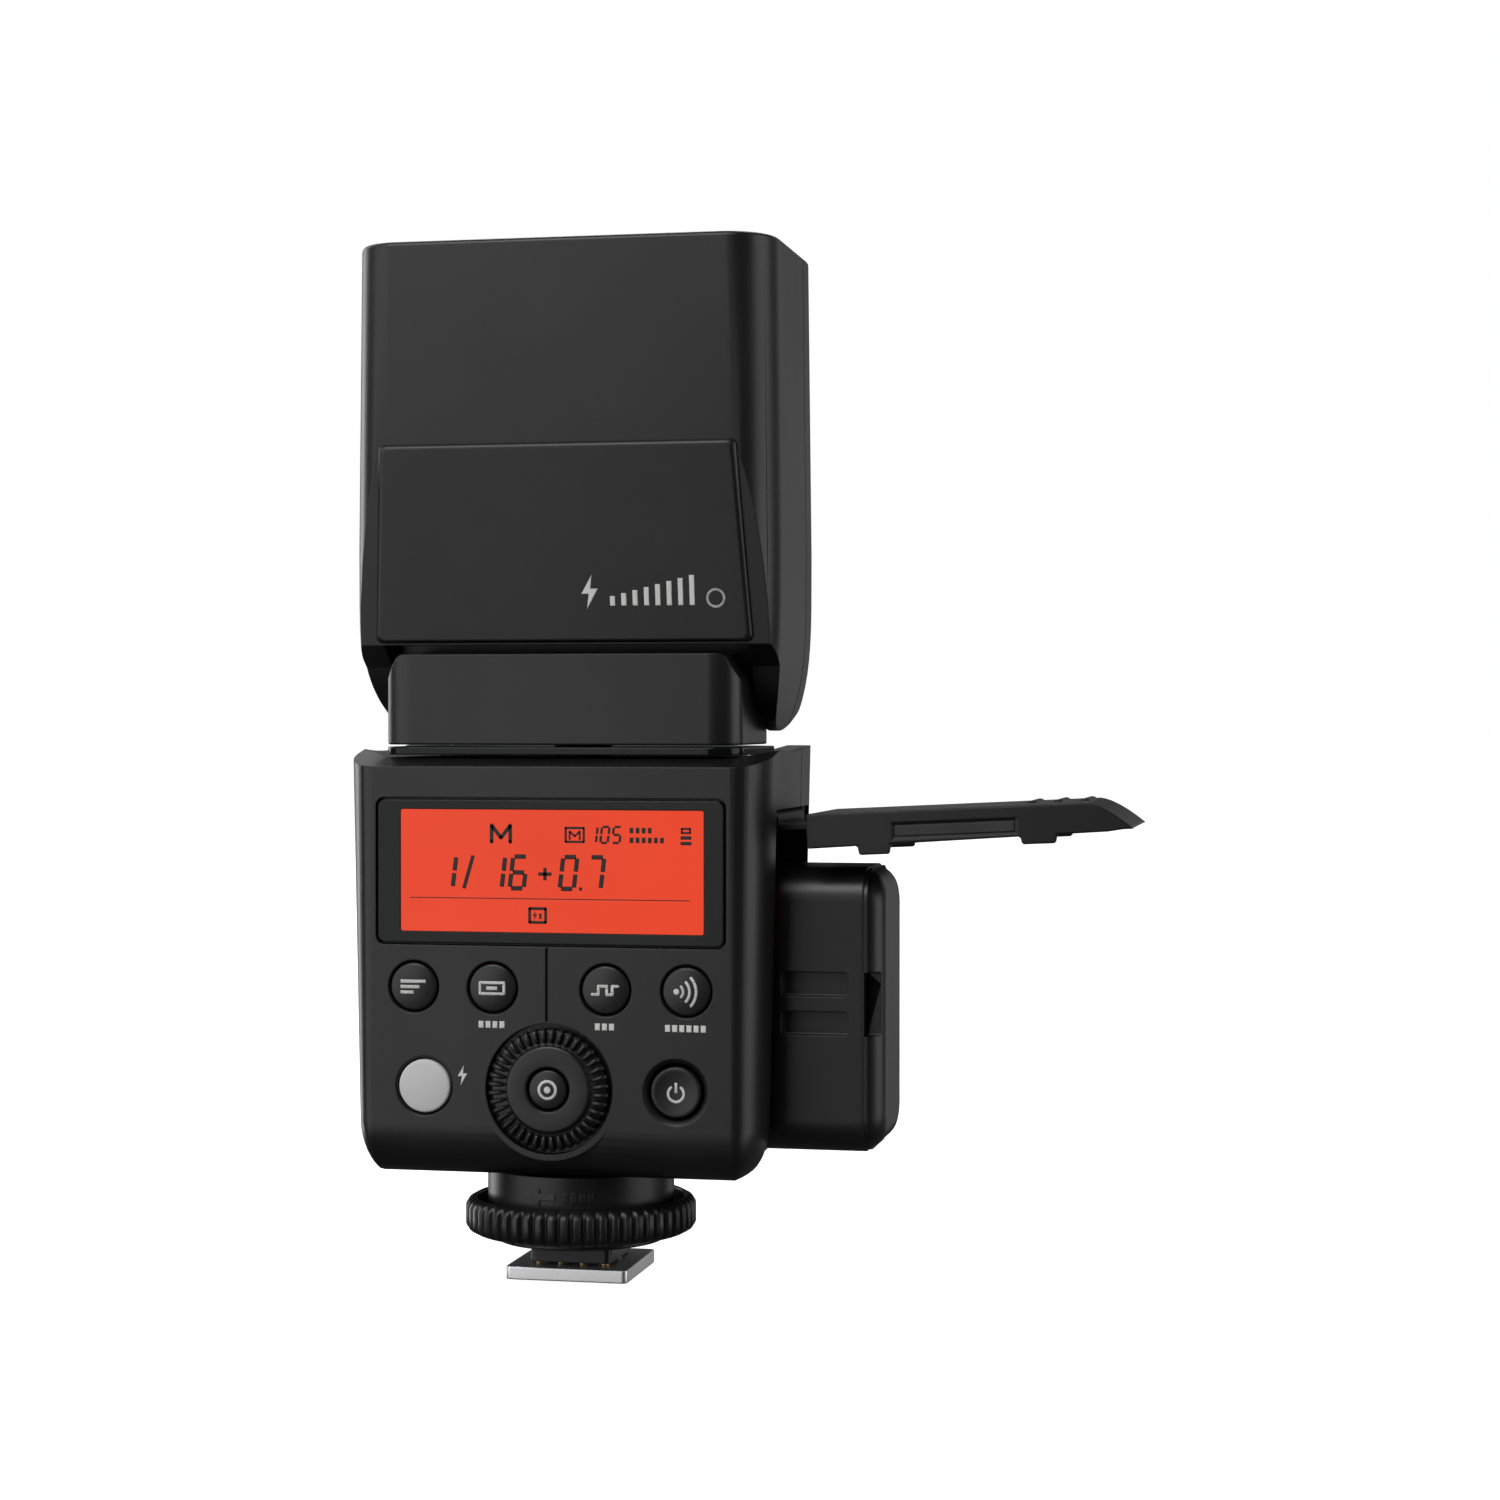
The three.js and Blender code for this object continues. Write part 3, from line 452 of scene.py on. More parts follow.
def piece(name, solid, look, slot, body, *nodes, bevel=0.0, crease=32):
    """A shown piece that rides on a body and may stand for CAD nodes."""
    obj = to_object(solid, name)
    mesh = bmesh.new()
    mesh.from_mesh(obj.data)
    if bevel:
        bmesh.ops.dissolve_limit(mesh, angle_limit=math.radians(0.6), verts=mesh.verts, edges=mesh.edges)
        joined = [edge for edge in mesh.edges if len(edge.link_faces) == 2]
        sharp = [edge for edge in joined if edge.calc_face_angle() > math.radians(crease)]
        bmesh.ops.bevel(mesh, geom=sharp, offset=bevel, segments=2, affect="EDGES", clamp_overlap=True)
    for edge in mesh.edges:
        edge.smooth = len(edge.link_faces) == 2 and edge.calc_face_angle() < math.radians(crease)
    for face in mesh.faces:
        face.smooth = True
    bmesh.ops.scale(mesh, vec=(MM, MM, MM), verts=mesh.verts)
    mesh.to_mesh(obj.data)
    mesh.free()
    obj.data.materials.append(LOOKS[look])
    weighted = obj.modifiers.new("even_shading", "WEIGHTED_NORMAL")
    weighted.keep_sharp = True
    weighted.weight = 80
    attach(obj, body)
    if nodes:
        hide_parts(*nodes)
    return obj


# ---- flat prints ----
def bar_print(u0, v0, u1, v1, width):
    """Corners of a straight bar, in order round it from its start."""
    length = math.hypot(u1 - u0, v1 - v0)
    du, dv = (u1 - u0) / length * width / 2, (v1 - v0) / length * width / 2
    return [(u0 - dv, v0 + du), (u0 + dv, v0 - du), (u1 + dv, v1 - du), (u1 - dv, v1 + du)]


def line_print(points, width):
    pairs = list(zip(points, points[1:]))
    dots = [dot(u, v, width / 2) for u, v in points]
    return [bar_print(*a, *b, width) for a, b in pairs] + dots


def arc_print(cu, cv, r, start, end, width, steps=20):
    return line_print(arc(cu, cv, r, start, end, steps), width)


def bolt_print(cu, cv, size):
    shape = [(0.15, 1), (-0.5, -0.1), (-0.05, -0.1), (-0.2, -1), (0.5, 0.2), (0.05, 0.2)]
    return [[(cu + u * size, cv + v * size) for u, v in shape]]


def short_bars(shape, longest=0.4):
    """Cuts a bar along its length, so that it follows a curved face."""
    if len(shape) != 4:
        return [shape]
    a, b, c, d = [Vector(point) for point in shape]
    count = max(1, math.ceil((d - a).length / longest))
    ends = [(a.lerp(d, i / count), b.lerp(c, i / count)) for i in range(count + 1)]
    return [[tuple(point) for point in (p, q, r, s)] for (p, q), (s, r) in zip(ends, ends[1:])]


def printed(name, shapes, place, body, look="print", slot="light_grey_plastic", depth=0.04, curved=False):
    """Thin raised print. place(u, v, out) gives the point; out is the height above the surface."""
    solids = []
    if curved:
        shapes = [part for shape in shapes for part in short_bars(shape)]
    for shape in shapes:
        solids.append(loft([[place(u, v, out) for u, v in shape] for out in (-0.02, depth)]))
    return piece(name, together(*solids), look, slot, body)


def facing(y):
    """Places a print on a flat face that looks at the rear viewer."""
    return lambda u, v, out: (u, y - out, v)


def key_depth(dish, reach):
    """Depth of a key's face below its front: dished if dish is positive, domed if negative."""
    return dish * (1 - reach * reach) if dish > 0 else -dish * reach * reach


def on_key(spot, dish, edge=KEY_EDGE):
    """Places a print on a key's dished or domed face."""
    def place(u, v, out):
        reach = math.hypot(u - spot.cx, v - spot.cz) / (spot.r - edge)
        return (u, spot.y0 + key_depth(dish, reach) - out, v)
    return place


# ---- body ----
REAR = Spot("rear_cover")
FRONT = Spot("front_cover")
BODY_TOP = max(REAR.z1, FRONT.z1)
BODY_LOW = REAR.z0
REAR_FACE = REAR.y0


def lip(z):
    """Share of the rounding at the body's lower edge: 1 at the bottom, 0 above the lip."""
    drop = max(0.0, (BODY_LOW + LIP["height"] - z) / LIP["height"])
    return 1 - math.sqrt(max(0.0, 1 - drop * drop))


def side_half(z):
    taper = SIDE_TAPER * (BODY_TOP - z) / (BODY_TOP - BODY_LOW - LIP["height"] + 1)
    return REAR.half + 0.02 - taper - LIP["side"] * lip(z)


def section(half, flat, rear, front, bevel, corner, z, steps=12):
    """Level outline with wide soft corners at the rear and round ones at the front."""
    side = []
    for i in range(steps + 1):
        t = math.radians(90 * i / steps)
        side.append((flat + (half - flat) * math.sin(t), rear + bevel - bevel * math.cos(t)))
    side += arc(half - corner, front - corner, corner, 0, 90, steps)
    return [(x, y, z) for x, y in side] + [(-x, y, z) for x, y in reversed(side)]


def body_solid(inset, low, top, rear):
    lip_height = BODY_LOW + LIP["height"] - low
    heights = [low + lip_height * (1 - math.cos(math.radians(9 * i))) for i in range(11)]
    heights = sorted({round(z, 4) for z in heights if low <= z < top} | {low, top})
    rings = []
    for z in heights:
        half = side_half(z) - inset
        flat = min(BODY_CORNER["flat"], half - 0.4) - inset * 0.4
        back = rear + LIP["back"] * lip(z) + inset
        fore = FRONT.y1 - LIP["front"] * lip(z) - inset
        rings.append(section(half, flat, back, fore, BODY_CORNER["bevel"], BODY_CORNER["front"], z))
    return loft(rings)


def dish_cut(centre_y):
    """Shallow cone in the body's top, under the head's swivel."""
    wide = DISH["reach"]
    lift = (wide - DISH["outer"]) * (BODY_TOP - DISH["floor"]) / (DISH["outer"] - DISH["inner"])
    top = BODY_TOP + lift
    profile = [(0, DISH["floor"]), (DISH["inner"], DISH["floor"]), (wide, top), (0, top)]
    return lathe(Z, 0, centre_y, profile, 96)


def chamfer_cut(rear):
    """Everything above the slope at the top of the rear face."""
    low, slope, end, top = (CHAMFER[key] for key in ("low", "slope", "end", "top"))
    outline = [(rear - 1, low - slope), (end, low + slope * 20), (end, top), (rear - 1, top)]
    return prism(X, outline, -FAR, FAR)


def button_well(spot, face, margin=0.22, ease=0.25):
    """Round hole with an eased mouth."""
    r = spot.r + margin
    profile = [
        (0, face - 3), (r + ease + 2, face - 3), (r + ease, face - 0.01),
        (r + ease * 0.35, face + ease * 0.4), (r, face + ease), (r, face + 6), (0, face + 6),
    ]
    return lathe(Y, spot.cx, spot.cz, profile, 72)


def rear_openings():
    """Everything cut into the rear cover alone."""
    window, dial, usb = Spot("display_window"), Spot("dial_wheel"), Spot("usb_socket")
    left, right = window.x0 - GAP, window.x1 + GAP
    low, top = window.z0 - GAP, window.z1 + GAP
    tools = [
        soft_block(Y, left, right, low, top, -30, REAR_FACE + 1.3, 1.3, 0.1),
        block(window.x0 + 3, window.x1 - 3, -30, -14, window.z0 + 1.3, window.z1 - 1.3),
        rod(Y, 0, dial.cz, dial.r + 0.5, -30, REAR_FACE + 1.6, 96),
        rod(Y, 0, dial.cz, SHAFT_HOLE_R, -30, -10),
        button_well(Spot("test_button"), REAR_FACE, 0.2, 0.35),
        button_well(Spot("power_button"), REAR_FACE, 0.3, 0.9),
        soft_block(Y, *GROOVE.values(), REAR_FACE - 2, REAR_FACE + 0.5, 0.15, 0.1),
        soft_block(X, usb.y0 - GAP, usb.y1 + GAP, usb.z0 - GAP, usb.z1 + GAP, -FAR, -26, 1.4, 0.1),
    ]
    tools += [button_well(Spot(f"{kind}_button"), REAR_FACE) for kind in KEY_KINDS]
    for side in ("left", "right"):
        screw = Spot(f"bottom_screw_{side}")
        tools.append(lathe(Z, screw.cx, screw.cy, SCREW_HOLE, 32))
    return tools


def build_body():
    dial = Spot("dial_wheel")
    outer = body_solid(0, BODY_LOW, BODY_TOP, REAR_FACE)
    inner = body_solid(WALL, BODY_LOW + WALL, DISH["floor"] - WALL, REAR_FACE)
    boss = rod(Y, 0, dial.cz, dial.r + 1.4, REAR_FACE, REAR_FACE + 4, 96)
    doorway = block(DOORWAY["x"], FAR, DOORWAY["rear"], DOORWAY["front"], DOORWAY["low"], DOORWAY["top"])
    shaft_hole = rod(Z, 0, SWIVEL_Y, SHAFT_HOLE_R, 70, 90)
    tools = (inner, doorway, shaft_hole, dish_cut(SWIVEL_Y), chamfer_cut(REAR_FACE))
    shell = cut(join(outer, boss), *tools)
    seam = (REAR.y1 + FRONT.y0) / 2
    rear_half = common(shell, block(-FAR, FAR, -30, seam - GAP / 2, 0, 90))
    rear_half = cut(rear_half, *rear_openings())
    piece("rear_cover_shell", rear_half, "shell", "black_shell", "body", "rear_cover", bevel=0.12)
    af = Spot("af_window")
    face = FRONT.y1
    window = soft_block(Y, af.x0 - GAP, af.x1 + GAP, af.z0 - GAP, af.z1 + GAP, face - 1.3, 30, 2.5, 0.05)
    front_half = cut(common(shell, block(-FAR, FAR, seam + GAP / 2, 30, 0, 90)), window)
    ridges = [soft_block(Y, -20, 20, z, z + 0.9, face - 0.6, face + 0.35, 0.4, 0.25) for z in GRIP_ROWS]
    piece("front_cover_shell", front_half, "shell", "black_shell", "body", "front_cover", bevel=0.12)
    piece("front_grip_ridges", together(*ridges), "shell", "black_shell", "body")


# ---- display ----
def seven_segment(digit, u, v, w, h, t, lean=0.12):
    """Bars of a slanted seven-segment digit with its lower left corner at (u, v)."""
    lit_bars = {"0": "abcdef", "1": "bc", "5": "acdfg", "6": "acdefg", "7": "abc"}[digit]
    gap = t * 0.3
    ends = {
        "a": (0, h, w, h), "b": (w, h, w, h / 2), "c": (w, h / 2, w, 0), "d": (0, 0, w, 0),
        "e": (0, h / 2, 0, 0), "f": (0, h, 0, h / 2), "g": (0, h / 2, w, h / 2),
    }
    shapes = []
    for name in lit_bars:
        a, b, c, d = ends[name]
        length = math.hypot(c - a, d - b)
        du, dv = (c - a) / length * gap, (d - b) / length * gap
        a, b, c, d = a + du, b + dv, c - du, d - dv
        shapes.append(bar_print(u + a + b * lean, v + b, u + c + d * lean, v + d, t))
    return shapes


def frame_print(u0, u1, v0, v1, t):
    corners = [(u0, v0), (u1, v0), (u1, v1), (u0, v1), (u0, v0)]
    return line_print(corners, t)


def letter_m(u, v, width, height, dip, t):
    """Outline strokes of an M with its lower left corner at (u, v)."""
    middle = u + width / 2
    points = [(u, v), (u, v + height), (middle, v + dip), (u + width, v + height), (u + width, v)]
    return line_print(points, t)


def top_row(v):
    """Mode letter, zoom reading, unit blocks and charge mark, hung from height v."""
    shapes = letter_m(-8.6, v - 4.7, 2.8, 2.4, 0.6, 0.55)
    shapes += frame_print(2.5, 5.2, v - 4.6, v - 2.6, 0.34)
    shapes += letter_m(3.1, v - 4.2, 1.5, 1.1, 0.4, 0.28)
    for i, digit in enumerate("105"):
        shapes += seven_segment(digit, 5.9 + 1.75 * i, v - 4.7, 1.1, 2.3, 0.36)
    for row, count in ((v - 2.9, 4), (v - 4.3, 6)):
        shapes += [bar_print(12.0 + 0.9 * i, row, 12.55 + 0.9 * i, row, 0.8) for i in range(count)]
    shapes += frame_print(19.7, 20.9, v - 3.2, v - 2.6, 0.3)
    return shapes + [bar_print(19.5, v - low, 21.1, v - low, 0.5) for low in (3.9, 4.7)]


def power_row(v):
    """The reading 1/16+0.7, on the line at height v."""
    shapes = []
    for digit, u in (("1", -16.6), ("1", -9.2), ("6", -5.9), ("0", 1.6), ("7", 5.6)):
        shapes += seven_segment(digit, u, v, 2.1, 4.6, 0.66)
    shapes.append(bar_print(-12.8, v - 0.1, -11.4, v + 4.7, 0.55))
    shapes.append(bar_print(-1.6, v + 2.1, 0.4, v + 2.1, 0.5))
    shapes.append(bar_print(-0.6, v + 1.2, -0.6, v + 3.0, 0.5))
    shapes.append(bar_print(4.5, v, 4.95, v, 0.5))
    return shapes


def build_display():
    window = Spot("display_window")
    u0, u1 = SCREEN["left"], SCREEN["right"]
    v0, v1 = window.z0 + SCREEN["above"], window.z1 - SCREEN["below"]
    face = window.y0
    glass_face = face + SCREEN["sunk"]
    plate = soft_block(Y, window.x0, window.x1, window.z0, window.z1, face, window.y1, 1.1, 0.18, 0.05)
    opening = soft_block(Y, u0, u1, v0, v1, face - 2, face + 0.35, 0.35, 0.05)
    piece("window_glass", cut(plate, opening), "gloss", "screen_gloss", "body", "display_window", bevel=0.05)
    screen = soft_block(Y, u0 + 0.03, u1 - 0.03, v0 + 0.03, v1 - 0.03, glass_face, face + 0.33, 0.3, 0.02)
    piece("lit_screen", screen, "lcd", "lcd_red", "body")
    line = v1 - 11.4
    shapes = top_row(v1) + power_row(line)
    shapes.append(bar_print(u0 + 1.4, line - 1.5, u1 - 2.0, line - 1.5, 0.13))
    shapes += frame_print(-2.9, -0.5, v0 + 1.5, v0 + 3.5, 0.42)
    shapes += bolt_print(-2.1, v0 + 2.5, 0.7)
    shapes.append(bar_print(-1.3, v0 + 2.0, -1.3, v0 + 2.8, 0.35))
    printed("screen_segments", shapes, facing(glass_face), "body", "ink", "black_inner", 0.02)


# ---- keys and dial ----
def key_cap(spot, dish, edge=KEY_EDGE):
    """Round key with a dished or domed face."""
    r, face = spot.r, spot.y0
    profile = [(0, face + key_depth(dish, 0))]
    for i in range(1, 9):
        profile.append(((r - edge) * i / 8, face + key_depth(dish, i / 8)))
    rim = face + key_depth(dish, 1)
    for i in range(1, 5):
        t = math.radians(90 * i / 4)
        profile.append((r - edge + edge * math.sin(t), rim + edge * (1 - math.cos(t))))
    profile += [(r, spot.y1), (0, spot.y1)]
    return lathe(Y, spot.cx, spot.cz, profile, 72)


def button_icon(kind, u, v):
    """Generic icon centred on (u, v): a list, a frame, a pulse or a signal."""
    if kind == "mode":
        rows = [(v + 0.8 - 0.8 * i, u + 1.9 - 0.9 * i) for i in range(3)]
        return [bar_print(u - 1.9, row, end, row, 0.46) for row, end in rows]
    if kind == "zoom":
        return frame_print(u - 1.8, u + 1.8, v - 0.8, v + 0.8, 0.4) + [bar_print(u - 0.8, v, u + 0.8, v, 0.5)]
    if kind == "sync":
        low, high = v - 0.6, v + 0.6
        pulse = [(-1.9, low), (-0.95, low), (-0.95, high), (0.3, high), (0.3, low), (1.1, low), (1.1, high)]
        return line_print([(u + a, height) for a, height in pulse + [(1.9, high)]], 0.42)
    waves = [arc_print(u - 1.5, v, r, -42, 42, 0.4, 8) for r in (1.1, 2.05, 3.0)]
    return [shape for wave in waves for shape in wave] + [dot(u - 1.4, v, 0.45)]


def printed_on_key(name, shapes, spot, dish, body, edge=KEY_EDGE):
    printed(name, shapes, on_key(spot, dish, edge), body, depth=PRINT_ON_KEY, curved=True)


def build_controls():
    for kind in KEY_KINDS:
        node = f"{kind}_button"
        spot = Spot(node)
        piece(f"{kind}_key", key_cap(spot, KEY_DOME), "key", "black_shell", node, node)
        printed_on_key(f"{kind}_key_icon", button_icon(kind, spot.cx, spot.cz), spot, KEY_DOME, node)
    pitch, width = 1.05, 0.75
    for kind, count in SECOND_MARKS.items():
        spot = Spot(f"{kind}_button")
        v = spot.cz - 5.3
        lefts = [spot.cx - count / 2 * pitch + pitch * i for i in range(count)]
        marks = [bar_print(left, v, left + width, v, 1.0) for left in lefts]
        printed(f"{kind}_second_mark", marks, facing(REAR_FACE), "body")
    test = Spot("test_button")
    cap = key_cap(test, KEY_DOME, 0.4)
    piece("test_key", cap, "grey", "light_grey_plastic", "test_button", "test_button")
    bolt = bolt_print(test.x1 + 1.9, test.cz + 1.7, 1.45)
    printed("test_bolt_mark", bolt, facing(REAR_FACE), "body")
    power = Spot("power_button")
    piece("power_key", key_cap(power, POWER_DISH), "key", "black_shell", "power_button", "power_button")
    symbol = arc_print(power.cx, power.cz - 0.2, 1.15, 130, 410, 0.4)
    symbol.append(bar_print(power.cx, power.cz - 0.1, power.cx, power.cz + 1.4, 0.4))
    printed_on_key("power_symbol", symbol, power, POWER_DISH, "power_button")


def build_dial():
    dial, knob = Spot("dial_wheel"), Spot("set_button")
    inner, seat, front = DIAL["inner"], DIAL["seat"], dial.y0
    bore = knob.r + 0.25
    disc = [(bore, dial.y1), (bore, front + 0.75), (bore + 0.35, front + 0.45), (inner - 0.5, front + 0.5)]
    channel = [(inner - 0.2, front + 0.6), (inner, front + 0.9), (inner + 0.1, front + 1.0)]
    rim = [(dial.r - 0.6, front + 1.2), (dial.r - 0.35, front + 1.5), (dial.r - 0.35, seat)]
    hub = [(DIAL["bore"], seat), (DIAL["bore"], dial.y1), (bore, dial.y1)]
    wheel = lathe(Y, 0, dial.cz, disc + channel + rim + hub, 120)
    piece("dial_turned", wheel, "key", "black_shell", "dial", "dial_wheel", crease=50)
    angles = [360 * (i + 0.5) / DIAL["ribs"] for i in range(DIAL["ribs"])]
    ridges = [dial_ridge(dial, inner + 0.25, angle, seat) for angle in angles]
    piece("dial_ridges", together(*ridges), "key", "black_shell", "dial", crease=40)
    piece("set_key", key_cap(knob, SET_DOME, 0.3), "key", "black_shell", "set_button", "set_button")
    icon = arc_print(0, dial.cz, 1.25, 0, 360, 0.42) + [dot(0, dial.cz, 0.5)]
    printed_on_key("set_key_icon", icon, knob, SET_DOME, "set_button", 0.3)


def dial_ridge(dial, start, angle, seat):
    """One rounded rib that runs out across the dial's rim and back along its edge."""
    t = math.radians(angle)
    cos, sin = math.cos(t), math.sin(t)
    rise = [(start, 0.95, 0.16), (start + 0.15, 0.3, 0.24), (start + 0.5, 0.04, 0.3)]
    fall = [(dial.r - 0.75, 0.08, 0.36), (dial.r - 0.3, 0.35, 0.36), (dial.r - 0.02, 0.8, 0.34)]
    rings = []
    for r, depth, width in rise + fall:
        ring = []
        for side, lift in ((-1, 1.0), (-0.85, 0.14), (-0.45, 0.0), (0.45, 0.0), (0.85, 0.14), (1, 1.0)):
            u, v = r - lift * 0.3 * (r > dial.r - 0.5), side * width
            y = dial.y0 + depth + lift * 0.9
            ring.append((u * cos - v * sin, min(y, seat), dial.cz + u * sin + v * cos))
        rings.append(ring)
    return loft(rings)


# ---- foot ----
def build_foot():
    collar, ring = Spot("foot_collar"), Spot("lock_ring")
    outer, step = COLLAR["r"], COLLAR["step"]
    profile = [(0, collar.z0), (step - 0.3, collar.z0), (step, collar.z0 + 0.3), (step, 8.4),
               (step + 0.3, 8.6), (outer - 1.4, 8.7), (outer - 0.3, 9.3), (outer, 10.2),
               (outer, collar.z1), (0, collar.z1)]
    arrow = [(-4.2, 13.2), (-2.6, 14.4), (-2.6, 13.7), (-0.2, 13.7), (-0.2, 12.7), (-2.6, 12.7), (-2.6, 12.0)]
    piece("collar_turned", lathe(Z, 0, 0, profile, 96), "dark", "black_inner", "body", "foot_collar")

    def wrapped(u, v, out):
        angle = -math.pi / 2 + u / outer
        r = outer + out * 3
        return (r * math.cos(angle), r * math.sin(angle), v)

    marks = [arrow] + [bar_print(0.9 + 1.25 * i, 13.2, 1.7 + 1.25 * i, 13.2, 1.5) for i in range(4)]
    solids = [loft([[wrapped(u, v, out) for u, v in shape] for out in (-0.1, 0.06)]) for shape in marks]
    piece("collar_arrow_mark", together(*solids), "dark", "black_inner", "body")
    teeth, r = RING_TEETH, ring.half

    def wave(angle, radius):
        if radius < r - 1.0:
            return radius
        ridge = 0.5 + 0.5 * math.cos(angle * teeth)
        return radius - 0.7 * (1 - min(1, ridge * 1.9)) * min(1, (radius - r + 1.0) / 0.8)

    mid = 9.0
    profile = [
        (11.4, ring.z0), (r - 1.3, ring.z0), (r - 0.45, ring.z0 + 0.45), (r, ring.z0 + 1.2), (r, mid),
        (r, ring.z1 - 1.2), (r - 0.45, ring.z1 - 0.45), (r - 1.3, ring.z1), (15.8, ring.z1),
        (15.5, ring.z1 - 0.3),
        (15.5, 8.3), (11.4, 8.3), (11.4, ring.z0),
    ]
    knurled = lathe(Z, 0, 0, profile, teeth * 10, wave)
    piece("lock_ring_knurled", knurled, "dark", "black_inner", "lock_ring", "lock_ring", crease=50)
    plate = Spot("foot_plate")
    pin = Spot("lock_pin")
    bores = [rod(Z, pin.cx, pin.cy, pin.half + GAP, -5, 20, 32)]
    for name in ["centre_contact"] + [f"small_contact_{i}" for i in range(1, 5)]:
        contact = Spot(name)
        bores.append(rod(Z, contact.cx, contact.cy, contact.half + GAP, -5, 4.5, 24))
    sheet = soft_block(Z, plate.x0, plate.x1, plate.y0, plate.y1, plate.z0, plate.z1, 0.8, 0.2, 0.25)
    grooves = [block(-5.5, 5.5, y, y + 0.5, -1, 0.15) for y in (-7.6, 5.6)]
    sheet = cut(sheet, *bores, *grooves)
    piece("foot_plate_metal", sheet, "steel", "bright_steel", "body", "foot_plate", bevel=0.08)
    base = Spot("foot_block")
    stem = soft_block(Z, -6.2, 6.2, -6.5, 6.5, base.z0, 5.4, 1.0, 0.15)
    flange = lathe(Z, 0, 0, [(0, 5.2), (12.6, 5.2), (13, 5.5), (13, base.z1), (0, base.z1)], 72)
    moulding = cut(join(stem, flange), *bores)
    piece("foot_block_moulded", moulding, "dark", "black_inner", "body", "foot_block", bevel=0.08)


# ---- battery and door ----
def battery_ring(x, inset, spot, r=5.0):
    y0, y1, z0, z1 = spot.y0 + inset, spot.y1 - inset, spot.z0 + inset, spot.z1 - inset
    outline = rounded(y0, y1, z0, z1, max(r - inset, 0.4), 10)
    return [(x, y, z) for y, z in outline]


def build_battery():
    case, cap = Spot("battery_case"), Spot("battery_end_cap")
    rings = [battery_ring(x, inset, case) for inset, x in eased(case.x0, case.x1, 0.4, 0.25)]
    grips = [
        soft_block(Y, 31.5, 41.4, 42.4, 46, case.y0 - 1, case.y0 + 1.5, 0.5, 0.2),
        soft_block(Y, 31.5, 41.4, 36.7, 40.2, case.y0 - 1, case.y0 + 1.5, 0.5, 0.2),
        block(case.x0 - 1, 0.5, 1.7, 10.3, 35.2, 44.8),
    ]
    shell = cut(loft(rings), *grips)
    piece("battery_shell", shell, "shell", "black_shell", "battery", "battery_case", bevel=0.1)
    depth = 3.9
    cap_rings = [battery_ring(cap.x0, 0.3, cap), battery_ring(cap.x0 + 0.3, 0.0, cap)]
    for i in range(11):
        t = math.radians(9 * i)
        inset = depth * (1 - math.cos(t))
        cap_rings.append(battery_ring(cap.x1 - depth + depth * math.sin(t), inset, cap, 5.0 + inset * 0.25))
    notch = soft_block(Y, 43, 60, 36.7, 46, cap.y0 - 1, cap.y0 + 2, 0.5, 0.2)
    bulge = cut(loft(cap_rings), notch)
    piece("battery_cap", bulge, "shell", "black_shell", "battery", "battery_end_cap", bevel=0.1)


def door_frame():
    """Places (s along, n out of) the closed door, from its hinge, in X and Z."""
    pin = Spot("door_hinge_pin")
    cos, sin = math.cos(DOOR_RISE), math.sin(DOOR_RISE)
    return lambda s, n: (pin.cx + s * cos - n * sin, pin.cz + s * sin + n * cos)


def door_prism(outline, y0, y1):
    place = door_frame()
    return prism(Y, [place(s, n) for s, n in outline], y0, y1)


def build_door():
    door = Spot("battery_door")
    y0, y1 = door.y0, door.y1
    curve = [(46.6 + 6.7 * i / 8, 0.75 - 4.05 * (i / 8) ** 1.5) for i in range(9)]
    outside = [(6, 0.75), (26, 0.78), *curve]
    skin = outside + [(50.2, -1.5), (46, -0.4), (6, -0.4)]
    wall = outside + [(51.8, -3.3), (49.6, -3.55), (46, -3.6), (6, -4.3)]
    parts = []
    for a, b in ((y0, y0 + 1.1), (y1 - 1.1, y1)):
        parts.append(door_prism(wall, a, b))
        for s0, s1, n in DOOR_TABS:
            parts.append(door_prism([(s0, -3), (s0 + 0.4, n), (s1 - 0.4, n), (s1, -3)], a, b))
    parts.append(door_prism([(13.5, -3), (14.3, -3), (14.3, 0), (13.5, 0)], y0 + 1, -4.6))
    recess = door_prism([(18.6, -3.3), (36.6, -3.3), (36.6, -1.1), (18.6, -1.1)], y0 - 1, y0 + 0.55)
    shell = cut(join(door_prism(skin, y0, y1), *parts), recess)
    piece("door_shell", shell, "shell", "black_shell", "battery_door", "battery_door", bevel=0.16, crease=24)
    grips = []
    for s in (38, 41.9, 45.8):
        ridge = [(s - 0.9, 0.5), (s - 0.5, 1.05), (s, 1.15), (s + 0.5, 1.05), (s + 0.9, 0.5)]
        grips.append(door_prism(ridge, 1, 13))
    piece("door_grip_ridges", together(*grips), "shell", "black_shell", "battery_door", bevel=0.1)
    liner = door_prism([(18.9, -3.0), (36.3, -3.0), (36.3, -1.4), (18.9, -1.4)], y0 + 0.35, y0 + 0.7)
    piece("door_liner", liner, "rubber", "grey_rubber", "battery_door", bevel=0.1)


